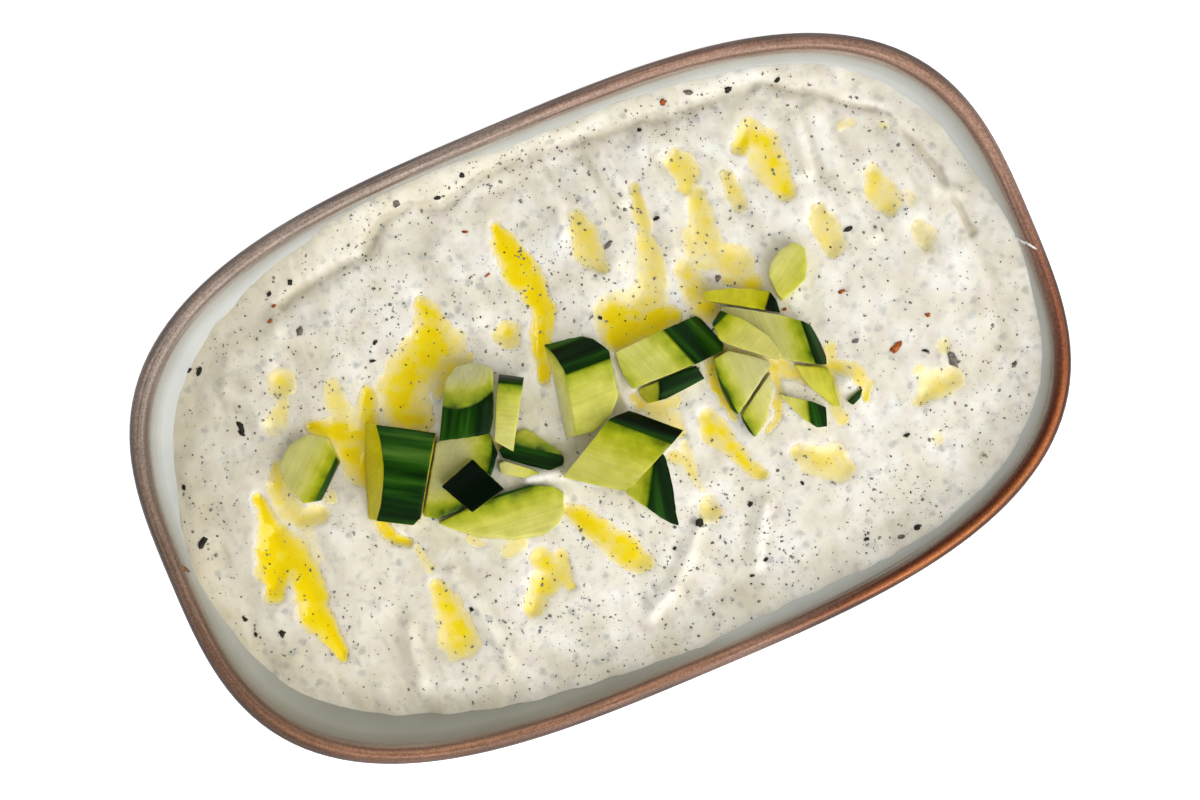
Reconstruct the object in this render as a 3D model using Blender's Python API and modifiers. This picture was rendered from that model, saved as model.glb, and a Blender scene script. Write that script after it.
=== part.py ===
"""A rounded stoneware dish of thick yoghurt dip, with olive oil and cut cucumber.

Metres, +Z up. The origin is on the table under the middle of the dish, with +X along
its long side. Lengths below are in millimetres, and MM turns them into metres.
"""

import math

import bmesh
import bpy
import numpy as np
from mathutils import Matrix, Vector

MM = 0.001

# The dish: a rounded oblong whose outline is a superellipse, on a low foot ring.
DISH_LENGTH = 200.0
DISH_WIDTH = 126.0
DISH_HEIGHT = 30.0
OUTLINE_POWER = 3.1
DISH_STEPS = 76
LIP_WIDTH = 3.6
LIP_RISE = 1.5
WALL_TOP = DISH_HEIGHT - LIP_RISE
FLOOR_TOP = 5.5
FLOOR_INSET = 30.0
INNER_CURVE = 1.9
OUTER_INSET = 21.0
OUTER_LOW = 3.0
OUTER_CURVE = 1.35
FOOT_OUTER_INSET = 23.5
FOOT_INNER_INSET = 28.0
FOOT_RECESS = 1.6
HALF_LENGTH = DISH_LENGTH / 2
HALF_WIDTH = DISH_WIDTH / 2

# The dip: its level in the middle, and how far its edge stands in from the outline, usually and
# where it climbs highest up the wall.
DIP_LEVEL = 23.2
DIP_EDGE_INSET = 5.7
DIP_EDGE_NEAREST = 4.3
DIP_GAP = 0.6
DIP_CELLS = (64, 40)
BORDER_WIDTH = 9.0
# Where the edge climbs or sinks: direction in degrees, spread in degrees, inset added.
EDGE_SWELLS = (
    (0, 7, -1.8), (24, 20, 1.0), (108, 26, -1.5), (155, 18, 2.0), (180, 7, -2.0), (210, 32, 3.2),
)

# Spoon marks, as chains of (x, y, half width): ridges, the crease along the border,
# and hollows that hold the oil.
RIDGE_HEIGHT = 1.5
RIDGES = (
    ((4.8, 54, 1.6), (6, 48, 1.9), (7.6, 42, 1.7), (6.8, 36, 1.5)),
    ((19.5, 51, 1.6), (20.2, 45, 1.9), (21, 38, 1.6)),
    ((31, 50, 1.6), (32.5, 44, 1.7)),
    ((38, 51, 1.6), (40.5, 46, 1.9), (43.5, 40, 1.7), (45.5, 34, 1.4)),
    ((58, 48, 1.6), (62, 43, 2.1), (61.5, 36, 1.9), (60, 28, 1.6)),
    ((66, 40, 1.7), (66.5, 30, 2.1), (66, 20, 1.7), (67.5, 10, 1.9)),
    ((80, 36, 1.9), (82, 24, 2.1), (84, 14, 2.1), (88, 11, 1.5)),
    ((-73.5, 33.5, 1.5), (-70.5, 30, 1.8), (-69, 24, 1.6)),
    ((-58, 41, 2.8), (-50, 36, 3.8), (-46, 27, 3.2)),
    ((-20, 43, 2.2), (-18, 35, 2.6), (-17, 27, 2.2)),
    ((14.5, 47, 2.2), (15.5, 36, 2.8), (15, 26, 2.2)),
    ((28, 46, 1.9), (28.5, 36, 2.4), (27.5, 24, 1.9)),
    ((-57, -29, 1.7), (-58.5, -36, 1.8), (-60, -43, 1.6)),
    ((-44, -22, 1.5), (-42, -29, 1.7), (-40.5, -38, 1.5), (-40, -44, 1.4)),
    ((-8, -47, 1.7), (-1, -43.5, 1.8), (5, -38, 1.8), (9, -33.5, 1.4)),
    ((24, -35, 1.5), (19.5, -41, 1.7), (17, -46, 1.5)),
    ((-66, 5, 3.4), (-64, -8, 4.0), (-62, -22, 3.4)),
    ((-21, -10, 1.4), (-14.5, -11, 1.8)),
    ((5.4, 6, 1.2), (4.6, -3, 1.5)),
)
BLOB_HEIGHT = 2.6
BLOB = ((50.2, -17.6, 2.4),)
CREASE_DEPTH = 1.8
CREASE = (
    (-56, 44.5, 1.4), (-50.7, 46.3, 1.8), (-42, 47.6, 1.8), (-34.7, 48.3, 1.8),
    (-29.3, 53, 1.6), (-21.3, 54.3, 1.5), (-15.5, 51.2, 1.7), (-10.7, 52.3, 1.6),
    (0, 55, 1.6), (10.7, 54.5, 1.7), (29.3, 51.7, 1.8), (46, 50.5, 1.8),
    (57, 48.5, 1.8), (68, 42.5, 1.8), (80, 33, 1.6), (86.5, 18, 1.5), (88, 2, 1.2),
)
HOLLOW_DEPTH = 1.1
HOLLOWS = (
    ((-76, 9, 1.0), (-76.3, 5, 1.9), (-76.6, 1.5, 2.8), (-78, -2.5, 3.4), (-78.6, -6, 3.9),
     (-80.8, -10.2, 1.8)),
    ((-75.2, 0, 2.4), (-74.4, -5, 3.8), (-73.6, -11, 3.2), (-73.8, -15.5, 3.1),
     (-74.4, -19, 3.3), (-73, -24, 2.0), (-72.3, -29, 1.2)),
    ((-70.2, 14, 1.3), (-71.3, 9.5, 2.3), (-71.2, 5, 2.6), (-69.5, 1.6, 2.2), (-65.3, 0.8, 1.8)),
    ((-60, 18.6, 1.6), (-56, 16.5, 2.8), (-53.5, 13.5, 3.0), (-54.2, 9, 3.2), (-53.3, 5.5, 3.2)),
    ((-62, 30, 2.9),),
    ((-46.3, 20.5, 1.7), (-48.3, 16, 3.0), (-50.6, 8, 2.0), (-53.6, -2, 1.5), (-54, -7, 1.4),
     (-52.8, -10.6, 1.2), (-50.3, -12.2, 1.0)),
    ((-27.8, 34.6, 1.4), (-27.7, 31, 2.6), (-28.5, 26.5, 4.0), (-30.5, 23, 5.6),
     (-35.5, 21.5, 5.0), (-39.2, 18, 4.8), (-39.4, 14, 4.4), (-38, 10.8, 2.8)),
    ((-13.5, 20.5, 2.8),),
    ((-6.5, 43, 1.1), (-6.6, 39, 2.4), (-5.8, 33.5, 3.4), (-4.6, 28, 3.0), (-4.2, 23, 2.4),
     (-5.8, 18.8, 2.3), (-8.2, 14, 1.9), (-9.5, 9, 1.3)),
    ((9.8, 38.5, 1.6), (9.9, 34.5, 2.7), (9.6, 30, 3.0), (10.8, 26.2, 1.5)),
    ((22.9, 42, 0.9), (23, 36, 1.5), (22.6, 30, 1.7), (21.8, 25, 2.5), (20.3, 21, 3.0),
     (18.2, 16.5, 4.0), (13.5, 14.5, 4.6), (9.8, 15.2, 4.6)),
    ((35.2, 42.5, 1.3), (34.9, 40, 2.7), (35.3, 36.5, 2.7), (34.9, 34.5, 1.4)),
    ((36, 32.3, 1.9), (34.9, 28, 2.8), (33.6, 23, 3.3), (34.4, 19, 2.8), (38.3, 15.5, 3.7)),
    ((27.9, 18.5, 2.1), (28.3, 13, 2.6)),
    ((43.5, 34, 1.2), (43.4, 29.5, 2.1), (43.6, 27.3, 1.8)),
    ((48.4, 38.4, 1.8), (52, 41, 2.2), (53.2, 37, 3.4), (52.9, 31.5, 3.5), (53.8, 26, 2.3)),
    ((59.2, 20.5, 1.5), (58.4, 16, 2.8), (59.2, 12, 2.3), (58.3, 9, 1.8)),
    ((72.8, 21.8, 2.0), (73, 18, 3.1), (73.4, 14.6, 2.4)),
    ((77.5, 8.5, 1.6), (78, 5, 2.6), (77.5, 2, 1.4)),
    ((19.8, -12.6, 2.0), (20.2, -16, 2.7), (22, -20, 1.7), (24.4, -25, 1.5), (26, -28.2, 1.1)),
    ((12.6, -30.8, 2.6),),
    ((35, -27, 1.7), (37.7, -29.6, 2.9), (41, -31.3, 3.4), (42.9, -34, 2.5)),
    ((64, -27, 1.6), (67.5, -25, 3.0), (71, -25.3, 2.8)),
    ((-15.6, -19, 1.6), (-13.2, -22.5, 2.3), (-10.7, -27, 2.6), (-8, -31, 3.0), (-5.9, -34.8, 2.8)),
    ((-25, -27, 2.5), (-24.6, -30, 3.7), (-28.5, -33.3, 2.4), (-31, -36.3, 1.7)),
    ((-48.2, -23.5, 1.6), (-47.9, -27, 2.5), (-47.4, -31.5, 3.3), (-47.8, -35.5, 4.2)),
)

# Herb and chilli flakes that lie on the dip: x, y, length, width, turn in degrees.
FLAKE_HEIGHT = 1.5
FLAKE_SUNK = -0.15
FLAKES = (
    (62.7, -14.7, 4.8, 1.5, 22), (73.3, -22.3, 3.7, 1.9, 100), (-73.8, 24.6, 2.6, 1.2, 105),
    (-90.8, 4.8, 2.8, 1.3, 35), (-82.9, -20.0, 1.8, 1.4, 90), (9.3, -32.9, 2.0, 1.6, 30),
    (-77.6, 39.0, 2.0, 1.1, 50), (51.3, 50.6, 1.7, 1.3, 0), (63.5, 12.8, 2.6, 0.9, 2),
    (26.0, 31.0, 2.0, 1.1, 0), (52.2, -52.0, 1.8, 1.1, 10), (37.2, 53.5, 1.6, 1.3, 0),
)

# The cucumber: whole fruit of this radius, cut lengthwise and then across at a slant.
CUCUMBER_RADIUS = 17.0
CUCUMBER_SIDES = 56
CUCUMBER_REACH = 60.0
CUTTER_GAP = 0.35
# Each piece is a cylinder of cucumber between knife cuts.
# outline: corners of its top as seen from above, clockwise or not, and none of them hollow, since
#   each side is cut right across. A third number leans the side that starts at that corner
#   outwards below, in degrees from upright.
# cut: a flesh face on top: x, y, z of a point, the way it falls and by how many degrees.
# skin: a point x, y, z of the skin, the way it faces there, and how far from straight up.
# core: instead of skin, x and y of an upright cucumber's middle line.
# base: the lower face, as a height or, like cut, as a slanting face.
PIECES = (
    dict(outline=((-69.1, 13.7), (-65.3, 16.6), (-60.7, 17.4), (-57.1, 15), (-56.9, 9.3),
                  (-63.7, 3.2), (-67.4, 4.1), (-69.1, 8.3)),
         cut=(-63, 10.5, 28, 130, 6), skin=(-60.5, 6.7, 28.2, -48, 72), base=18),
    dict(outline=((-44.8, 12.5), (-35.4, 6.9), (-45.5, -8.6), (-47.5, -9.4), (-52.7, -6.5, 28)),
         skin=(-45.4, 1.2, 30.5, 60, 0), base=19),
    dict(outline=((-35.2, 5), (-32.5, 10), (-29, 16.5), (-26, 18.2), (-23, 17.9), (-19.6, 16),
                  (-18.8, 14.6), (-21.1, 8.5), (-22.7, 5), (-24.6, 2.4), (-28, 3)),
         cut=(-26.5, 9.2, 32.2, 84, 25), skin=(-28, 7, 32.5, -28, 0), base=(-28, 3, 27, 90, 12)),
    dict(outline=((-18.2, 13.3), (-13.4, 10.5), (-14.3, 9), (-19, 0.5), (-21.5, -3.2),
                  (-24.2, 0.3), (-24, 1.8), (-20.7, 8)),
         cut=(-18.8, 5, 29.6, 62, 8), skin=(-16.4, 10.8, 28.6, 62, 65),
         base=(-20.5, 0, 26.3, 62, 10)),
    dict(outline=((-36.1, 5), (-24.9, 5), (-24.9, -2), (-26.5, -6), (-30, -8.9), (-36, -10.4),
                  (-42, -10.2), (-44.9, -8.6)),
         cut=(-35, -2, 26, 200, 1), core=(-39.6, 6.4), base=16),
    dict(outline=((-30.3, -1.3), (-26.3, -9.9), (-34.6, -11.8), (-38.6, -4.2)),
         skin=(-32.4, -6.8, 31, 100, 18), base=(-35, -2, 26.5, 200, 2)),
    dict(outline=((-42.5, -11), (-36, -10.8), (-27, -10.3), (-22, -11), (-17, -13.3),
                  (-15.2, -15.5), (-16.8, -19.5), (-18.5, -21.3), (-21.2, -22, 20),
                  (-28.5, -20.2, 20), (-35, -17, 20), (-38.7, -14.8)),
         cut=(-28, -15.5, 25.5, -70, 5), skin=(-28, -10.7, 25.8, 84, 80), base=15),
    dict(outline=((-24.3, -1.7), (-18.5, 0.4), (-17, 0), (-12.3, -7.4), (-12.2, -8.8),
                  (-12.9, -10), (-16, -10.1), (-18.9, -8), (-24.3, -3.7)),
         cut=(-17.2, -5.1, 26.2, 55, 28), skin=(-17.2, -5.1, 26.2, -125, 22), base=18),
    dict(outline=((-25.6, -4.3), (-24.2, -4.4), (-19.5, -8.2), (-18.2, -9.8), (-22, -9.2),
                  (-26, -6.5)),
         cut=(-22.5, -7, 25.2, -120, 12), core=(-30, 1), base=19),
    dict(outline=((-3.2, 15.8), (-2, 15.8), (0.5, 14.9), (3.5, 12.4), (5.8, 8.5), (4.6, 3),
                  (3.8, -1), (1, -4), (-4, -6), (-7.5, -5.4, 25)),
         cut=(0, 3, 29, -100, 3), skin=(0, 8.6, 28.9, 88, 30), base=17),
    dict(outline=((-14, -12.4), (0.2, -4.7), (4.6, -4.7), (14.5, -12.8), (-0.5, -19.8),
                  (-3, -20.4)),
         cut=(0, -12, 31.5, 200, 6), skin=(5.3, -9.1, 31.8, 50, 42), base=(0, -12, 26.8, 200, 11)),
    dict(outline=((-2.8, -21), (-1, -16), (6, -14.5), (8, -16.5), (7.9, -21), (7.3, -26),
                  (5.5, -32.3), (3.6, -30.8), (1.8, -28.3)),
         cut=(2, -22, 25.8, 105, 8), skin=(3.2, -22.5, 25.8, -15, 22), base=16),
    dict(outline=((6.8, 7.8), (19, 8.3), (25.8, 8.4), (27, 7), (28, 4), (29.3, 0.6),
                  (28.3, -0.8), (22.5, -1.1), (7.3, -0.9), (6.5, 3)),
         cut=(14, 3.4, 28.6, 190, 4), skin=(20.8, 3.3, 29, 21, 25), base=17),
    dict(outline=((8.2, -1.5), (12.3, -1.5), (21.6, -1.6), (22.3, -4.8), (13, -5.5),
                  (9, -4.9), (8.3, -3)),
         cut=(12.6, -3.5, 27, 180, 30), skin=(17, -3.5, 27.2, -93, 12), base=19),
    dict(outline=((43.6, 10.4), (45, 12.5), (48, 14.3), (51.5, 14.7), (53, 12.5), (52, 9),
                  (50.3, 6.5), (47, 5), (44.2, 4.1), (43.6, 6)),
         cut=(48, 9.5, 27.3, 60, 5), skin=(50.5, 3.2, 27, -60, 70), base=18),
    dict(outline=((29.2, 12.4), (31, 12), (35, 11), (39, 9.1), (42.5, 7), (43.2, 4.6),
                  (42.9, 1.8), (31.5, 8.95), (29, 10.6)),
         cut=(36, 8.5, 26.6, 60, 10), skin=(41.2, 4.6, 26.8, -25, 35), base=18),
    dict(outline=((31.5, 8.2), (36, 5.6), (43, 1.1), (46.5, -1.8), (47.7, -3), (48.3, -8),
                  (48.3, -10.5), (47.6, -12.1), (46.3, -11.6), (41, -8.6), (36.5, -4.6),
                  (32, 2)),
         cut=(40, -2, 27.6, 160, 8), skin=(46, -7, 28.6, -2, 50), base=18),
    dict(outline=((28.3, 5.4), (31, 7.3), (34.9, 3.4), (38.2, -1.7), (39.3, -6.2),
                  (38.6, -7.6), (29.7, 0), (28.4, 1.6)),
         cut=(34, 1, 30.4, 160, 8), skin=(30.4, 5.6, 30.2, 115, 60),
         base=(34, 1, 27.1, 160, 8)),
    dict(outline=((25.8, -1.7), (29.3, -1.3), (32.8, -3.7), (36.2, -6.4), (36.6, -7.8),
                  (26, -14.7), (24.8, -12.5), (24.8, -8), (25.3, -4)),
         cut=(30, -6, 26, -20, 4), skin=(25.1, -8, 26.4, 185, 78), base=18),
    dict(outline=((26.5, -15.2), (35.9, -9.1), (35.5, -10.5), (34.5, -13.5), (31, -18.5),
                  (27.5, -20.6), (26.3, -18)),
         cut=(30.5, -14.5, 25.4, -60, 5), skin=(26.5, -17, 25.6, 190, 84), base=18),
    dict(outline=((35.8, -14.2), (41.6, -18.4), (43.9, -20.7), (42.6, -24.5), (40.5, -23.9),
                  (38.5, -21), (37, -17.5)),
         cut=(39.5, -20, 25.4, 140, 6), skin=(41, -21, 25.5, -8, 20), base=18),
    dict(outline=((41.2, -9.6), (47.6, -13), (46.9, -21.6), (45.6, -21), (42.3, -15)),
         cut=(44, -14, 25.2, -60, 6), skin=(48.5, -15, 25, 0, 70), base=18),
    dict(outline=((48.6, -21.2), (50.8, -20.4), (52.8, -19.9), (51.6, -21.7), (49.6, -22.5)),
         skin=(50.7, -21, 25, -60, 20), base=20),
)

STONEWARE = ("stoneware", (0.42, 0.41, 0.37), 0.3)
YOGHURT = ("yoghurt", (0.84, 0.80, 0.68), 0.4)
FLESH = ("cucumber", (0.46, 0.55, 0.12), 0.25)


def material(name, colour, roughness):
    made = bpy.data.materials.new(name)
    made.use_nodes = True
    made.diffuse_color = (*colour, 1)
    shader = made.node_tree.nodes["Principled BSDF"]
    shader.inputs["Base Color"].default_value = (*colour, 1)
    shader.inputs["Roughness"].default_value = roughness
    shader.inputs["Metallic"].default_value = 0.0
    return made


def new_object(name, mesh, collection):
    made = bpy.data.objects.new(name, mesh)
    collection.objects.link(made)
    return made


def apply_modifiers(made):
    graph = bpy.context.evaluated_depsgraph_get()
    mesh = bpy.data.meshes.new_from_object(made.evaluated_get(graph))
    made.modifiers.clear()
    made.data = mesh


def corners(mesh):
    found = np.empty(len(mesh.vertices) * 3)
    mesh.vertices.foreach_get("co", found)
    return found.reshape(-1, 3)


def outline_radius(angle, half_x, half_y):
    """Distance from the middle to a superellipse, in the direction of angle."""
    across = np.abs(np.cos(angle) / half_x) ** OUTLINE_POWER
    along = np.abs(np.sin(angle) / half_y) ** OUTLINE_POWER
    return (across + along) ** (-1 / OUTLINE_POWER)


def wall_height(inset):
    """Height of the dish's inner wall, this far in from the outline."""
    left = np.clip(1 - (inset - LIP_WIDTH) / (FLOOR_INSET - LIP_WIDTH), 0, 1)
    return FLOOR_TOP + (WALL_TOP - FLOOR_TOP) * left**INNER_CURVE


def wall_inset(height):
    left = np.clip((height - FLOOR_TOP) / (WALL_TOP - FLOOR_TOP), 0, 1)
    return LIP_WIDTH + (FLOOR_INSET - LIP_WIDTH) * (1 - left ** (1 / INNER_CURVE))


def outer_inset(height):
    left = np.clip(1 - (height - OUTER_LOW) / (WALL_TOP - OUTER_LOW), 0, 1)
    return OUTER_INSET * left**OUTER_CURVE


def dish_profile():
    """Points (inset, height) from the floor up over the lip and down to the foot."""
    inner = [(wall_inset(z), z) for z in np.linspace(FLOOR_TOP + 0.4, WALL_TOP, 8)]
    half = LIP_WIDTH / 2
    lip = [
        (half - half * math.cos(a), WALL_TOP + LIP_RISE * math.sin(a))
        for a in np.linspace(math.pi, 0, 7)[1:-1]
    ]
    outer = [(outer_inset(z), z) for z in np.linspace(WALL_TOP, OUTER_LOW, 8)]
    foot = [
        (FOOT_OUTER_INSET - 0.7, 0.8),
        (FOOT_OUTER_INSET, 0),
        (FOOT_INNER_INSET, 0),
        (FOOT_INNER_INSET + 1.2, FOOT_RECESS),
    ]
    return [(FLOOR_INSET + 2, FLOOR_TOP), *inner, *lip, *outer, *foot]


def make_dish(collection):
    """The profile is turned into a round dish, whose rings are then pulled oblong."""
    points = [(HALF_WIDTH - inset, height) for inset, height in dish_profile()]
    points = [(0, FLOOR_TOP), *points, (0, FOOT_RECESS)]
    mesh = bpy.data.meshes.new("dish")
    edges = [(i, i + 1) for i in range(len(points) - 1)]
    mesh.from_pydata([(x * MM, 0, z * MM) for x, z in points], edges, [])
    dish = new_object("dish", mesh, collection)
    turn = dish.modifiers.new("turn", "SCREW")
    turn.steps = turn.render_steps = DISH_STEPS
    turn.use_merge_vertices = True
    turn.merge_threshold = 0.00005
    apply_modifiers(dish)
    round_points = corners(dish.data)
    radius = np.hypot(round_points[:, 0], round_points[:, 1]) / MM
    angle = np.arctan2(round_points[:, 1], round_points[:, 0])
    off_axis = radius > 1
    half_y = np.where(off_axis, radius, 1)
    oblong = outline_radius(angle, half_y + HALF_LENGTH - HALF_WIDTH, half_y) * off_axis
    round_points[:, 0] = oblong * np.cos(angle) * MM
    round_points[:, 1] = oblong * np.sin(angle) * MM
    dish.data.vertices.foreach_set("co", round_points.ravel())
    dish.data.shade_smooth()
    dish.data.materials.append(material(*STONEWARE))
    return dish


def path_nearness(x, y, path):
    """1 on the line of a chain of (x, y, half width), about 0.37 at its rim, 0 far off."""
    ratio = np.full(x.shape, np.inf)
    for start, end in zip(path, path[1:] or path):
        step_x, step_y = end[0] - start[0], end[1] - start[1]
        length = max(step_x**2 + step_y**2, 1e-9)
        share = np.clip(((x - start[0]) * step_x + (y - start[1]) * step_y) / length, 0, 1)
        away = np.hypot(x - start[0] - share * step_x, y - start[1] - share * step_y)
        ratio = np.minimum(ratio, away / (start[2] + share * (end[2] - start[2])))
    return np.exp(-(ratio**2))


def edge_inset(angle):
    """How far the dip's edge stands in from the dish's outline."""
    inset = np.full(np.shape(angle), DIP_EDGE_INSET)
    for middle, spread, added in EDGE_SWELLS:
        off = (np.degrees(angle) - middle + 180) % 360 - 180
        inset = inset + added * np.exp(-((off / spread) ** 2))
    inset = inset + 0.35 * np.sin(5 * angle + 1) + 0.25 * np.sin(9 * angle)
    return np.maximum(inset, DIP_EDGE_NEAREST)


def dip_height(x, y):
    """Height of the dip's top, with its spoon marks and its climb up the wall."""
    angle = np.arctan2(y, x)
    inset = edge_inset(angle)
    to_edge = outline_radius(angle, HALF_LENGTH - inset, HALF_WIDTH - inset) - np.hypot(x, y)
    swirls = 0.5 * np.sin(x / 6.1 + 0.35 * np.sin(y / 9)) * np.cos(y / 21 - 0.4)
    swirls = swirls + 0.35 * np.sin(x / 13 - y / 17 + 1)
    height = DIP_LEVEL + swirls
    for ridge in RIDGES:
        height = height + RIDGE_HEIGHT * path_nearness(x, y, ridge)
    height = height + BLOB_HEIGHT * path_nearness(x, y, BLOB)
    for hollow in HOLLOWS:
        height = height - HOLLOW_DEPTH * path_nearness(x, y, hollow)
    share = np.clip(to_edge / BORDER_WIDTH, 0, 1)
    share = share * share * (3 - 2 * share)
    edge = wall_height(inset)
    height = edge + (height - edge) * share
    return height - CREASE_DEPTH * path_nearness(x, y, CREASE)


def fit_to_outline(x, y, half_x, half_y):
    """Moves points of a rectangle into the rounded outline, the middle ones least."""
    angle = np.arctan2(y, x)
    with np.errstate(divide="ignore"):
        to_side = 1 / np.maximum(np.abs(np.cos(angle)) / half_x, np.abs(np.sin(angle)) / half_y)
    share = np.hypot(x, y) / to_side
    factor = 1 + (outline_radius(angle, half_x, half_y) / to_side - 1) * share**4
    return x * factor, y * factor


def make_dip_body(collection):
    """A grid fitted to the outline, with sides that follow the dish down to its floor."""
    grid = bmesh.new()
    bmesh.ops.create_grid(grid, x_segments=DIP_CELLS[0], y_segments=DIP_CELLS[1], size=1)
    flat = np.array([vertex.co[:] for vertex in grid.verts])
    angle = np.arctan2(flat[:, 1] * HALF_WIDTH, flat[:, 0] * HALF_LENGTH)
    half_x = HALF_LENGTH - DIP_GAP - edge_inset(angle)
    half_y = HALF_WIDTH - DIP_GAP - edge_inset(angle)
    x, y = fit_to_outline(flat[:, 0] * half_x, flat[:, 1] * half_y, half_x, half_y)
    for vertex, at in zip(grid.verts, np.column_stack([x, y, dip_height(x, y)]) * MM):
        vertex.co = at
    rim = [edge for edge in grid.edges if edge.is_boundary]
    for share in (0.66, 0.3, 0.0):
        made = bmesh.ops.extrude_edge_only(grid, edges=rim)["geom"]
        rim = [item for item in made if isinstance(item, bmesh.types.BMEdge) and item.is_boundary]
        for vertex in (item for item in made if isinstance(item, bmesh.types.BMVert)):
            angle = math.atan2(vertex.co.y, vertex.co.x)
            top = float(wall_height(edge_inset(angle)))
            height = FLOOR_TOP + DIP_GAP + share * (top - FLOOR_TOP)
            inset = float(wall_inset(height)) + DIP_GAP
            radius = float(outline_radius(angle, HALF_LENGTH - inset, HALF_WIDTH - inset))
            vertex.co = Vector((radius * math.cos(angle), radius * math.sin(angle), height)) * MM
    bmesh.ops.edgeloop_fill(grid, edges=rim)
    bmesh.ops.recalc_face_normals(grid, faces=grid.faces)
    mesh = bpy.data.meshes.new("dip")
    grid.to_mesh(mesh)
    grid.free()
    return new_object("dip", mesh, collection)


def make_flake(x, y, length, width, turn):
    """A small crumpled flake, half sunk in the dip."""
    flake = bmesh.new()
    bmesh.ops.create_icosphere(flake, subdivisions=1, radius=1)
    height = float(dip_height(np.array([x]), np.array([y]))[0]) + FLAKE_SUNK
    size = Matrix.Diagonal((length / 2 * MM, width / 2 * MM, FLAKE_HEIGHT / 2 * MM, 1))
    place = Matrix.Translation(Vector((x, y, height)) * MM)
    flake.transform(place @ Matrix.Rotation(math.radians(turn), 4, "Z") @ size)
    mesh = bpy.data.meshes.new("flake")
    flake.to_mesh(mesh)
    flake.free()
    return mesh


def fall_direction(azimuth, degrees):
    """Normal of a face that falls by this much towards azimuth."""
    way, tilt = math.radians(azimuth), math.radians(degrees)
    return Vector((math.sin(tilt) * math.cos(way), math.sin(tilt) * math.sin(way), math.cos(tilt)))


def whole_cucumber(piece, grow):
    """A closed cylinder of cucumber where the piece's skin or core says."""
    shape = bmesh.new()
    radius = CUCUMBER_RADIUS + grow
    bmesh.ops.create_cone(
        shape, cap_ends=True, segments=CUCUMBER_SIDES, radius1=radius * MM,
        radius2=radius * MM, depth=2 * CUCUMBER_REACH * MM,
    )
    if "core" in piece:
        middle = Vector((*piece["core"], 0))
        lie = Matrix.Identity(4)
    else:
        x, y, z, facing, lean = piece["skin"]
        middle = Vector((x, y, z)) - CUCUMBER_RADIUS * fall_direction(facing, lean)
        lie = Matrix.Rotation(math.radians(facing), 4, "Z") @ Matrix.Rotation(math.pi / 2, 4, "X")
    shape.transform(Matrix.Translation(middle * MM) @ lie)
    return shape


def knife(shape, point, normal, grow):
    """Keeps what lies behind a plane, moved outwards by grow, and closes the cut."""
    normal = normal.normalized()
    made = bmesh.ops.bisect_plane(
        shape, geom=[*shape.verts, *shape.edges, *shape.faces], dist=1e-7,
        plane_co=(point + normal * grow) * MM, plane_no=normal, clear_outer=True,
    )["geom_cut"]
    edges = [item for item in made if isinstance(item, bmesh.types.BMEdge)]
    if edges:
        bmesh.ops.contextual_create(shape, geom=edges)


def side_cuts(piece):
    """(point, normal) of the knife cuts through the outline's sides."""
    outline = piece["outline"]
    level = piece["cut"][2] if "cut" in piece else piece["skin"][2]
    middle = sum((Vector(corner[:2]) for corner in outline), Vector((0, 0))) / len(outline)
    for corner, following in zip(outline, outline[1:] + outline[:1]):
        along = Vector(following[:2]) - Vector(corner[:2])
        out = Vector((along.y, -along.x)).normalized()
        if out.dot(Vector(corner[:2]) - middle) < 0:
            out = -out
        lean = math.radians(corner[2]) if len(corner) > 2 else 0.0
        normal = Vector((out.x * math.cos(lean), out.y * math.cos(lean), math.sin(lean)))
        yield Vector((*corner[:2], level)), normal


def cucumber_mesh(piece, grow=0.0):
    shape = whole_cucumber(piece, grow)
    for point, normal in side_cuts(piece):
        knife(shape, point, normal, grow)
    if "cut" in piece:
        *point, azimuth, tilt = piece["cut"]
        knife(shape, Vector(point), fall_direction(azimuth, tilt), grow)
    base = piece["base"]
    if isinstance(base, tuple):
        *point, azimuth, tilt = base
        knife(shape, Vector(point), -fall_direction(azimuth, tilt), grow)
    else:
        knife(shape, Vector((0, 0, base)), Vector((0, 0, -1)), grow)
    bmesh.ops.recalc_face_normals(shape, faces=shape.faces)
    mesh = bpy.data.meshes.new("cucumber")
    shape.to_mesh(mesh)
    shape.free()
    return mesh


def join_with(target, helpers, operation):
    """One Boolean with a collection of helpers, which are then removed."""
    step = target.modifiers.new(operation.lower(), "BOOLEAN")
    step.operation = operation
    step.operand_type = "COLLECTION"
    step.collection = helpers
    apply_modifiers(target)
    for helper in list(helpers.objects):
        bpy.data.objects.remove(helper)
    bpy.data.collections.remove(helpers)


def drop_scraps(mesh):
    """Keeps the largest body: cuts that meet can leave loose crumbs between them."""
    shape = bmesh.new()
    shape.from_mesh(mesh)
    left = set(shape.faces)
    bodies = []
    while left:
        body = {left.pop()}
        edge_of_body = set(body)
        while edge_of_body:
            near = {f for face in edge_of_body for edge in face.edges for f in edge.link_faces}
            edge_of_body = near - body
            body |= edge_of_body
        left -= body
        bodies.append(body)
    largest = max(bodies, key=len)
    scraps = [face for body in bodies if body is not largest for face in body]
    bmesh.ops.delete(shape, geom=scraps, context="FACES")
    shape.to_mesh(mesh)
    shape.free()


def make_collection(name):
    made = bpy.data.collections.new(name)
    bpy.context.scene.collection.children.link(made)
    return made


def make_dip(collection):
    """The dip with its flakes, and a place in it for each sunk piece of cucumber."""
    dip = make_dip_body(collection)
    flakes = make_collection("flakes")
    for index, flake in enumerate(FLAKES):
        new_object(f"flake_{index + 1:02d}", make_flake(*flake), flakes)
    join_with(dip, flakes, "UNION")
    cutters = make_collection("cutters")
    for index, piece in enumerate(PIECES):
        new_object(f"cutter_{index + 1:02d}", cucumber_mesh(piece, CUTTER_GAP), cutters)
    join_with(dip, cutters, "DIFFERENCE")
    drop_scraps(dip.data)
    dip.data.materials.clear()
    dip.data.materials.append(material(*YOGHURT))
    return dip


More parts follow.
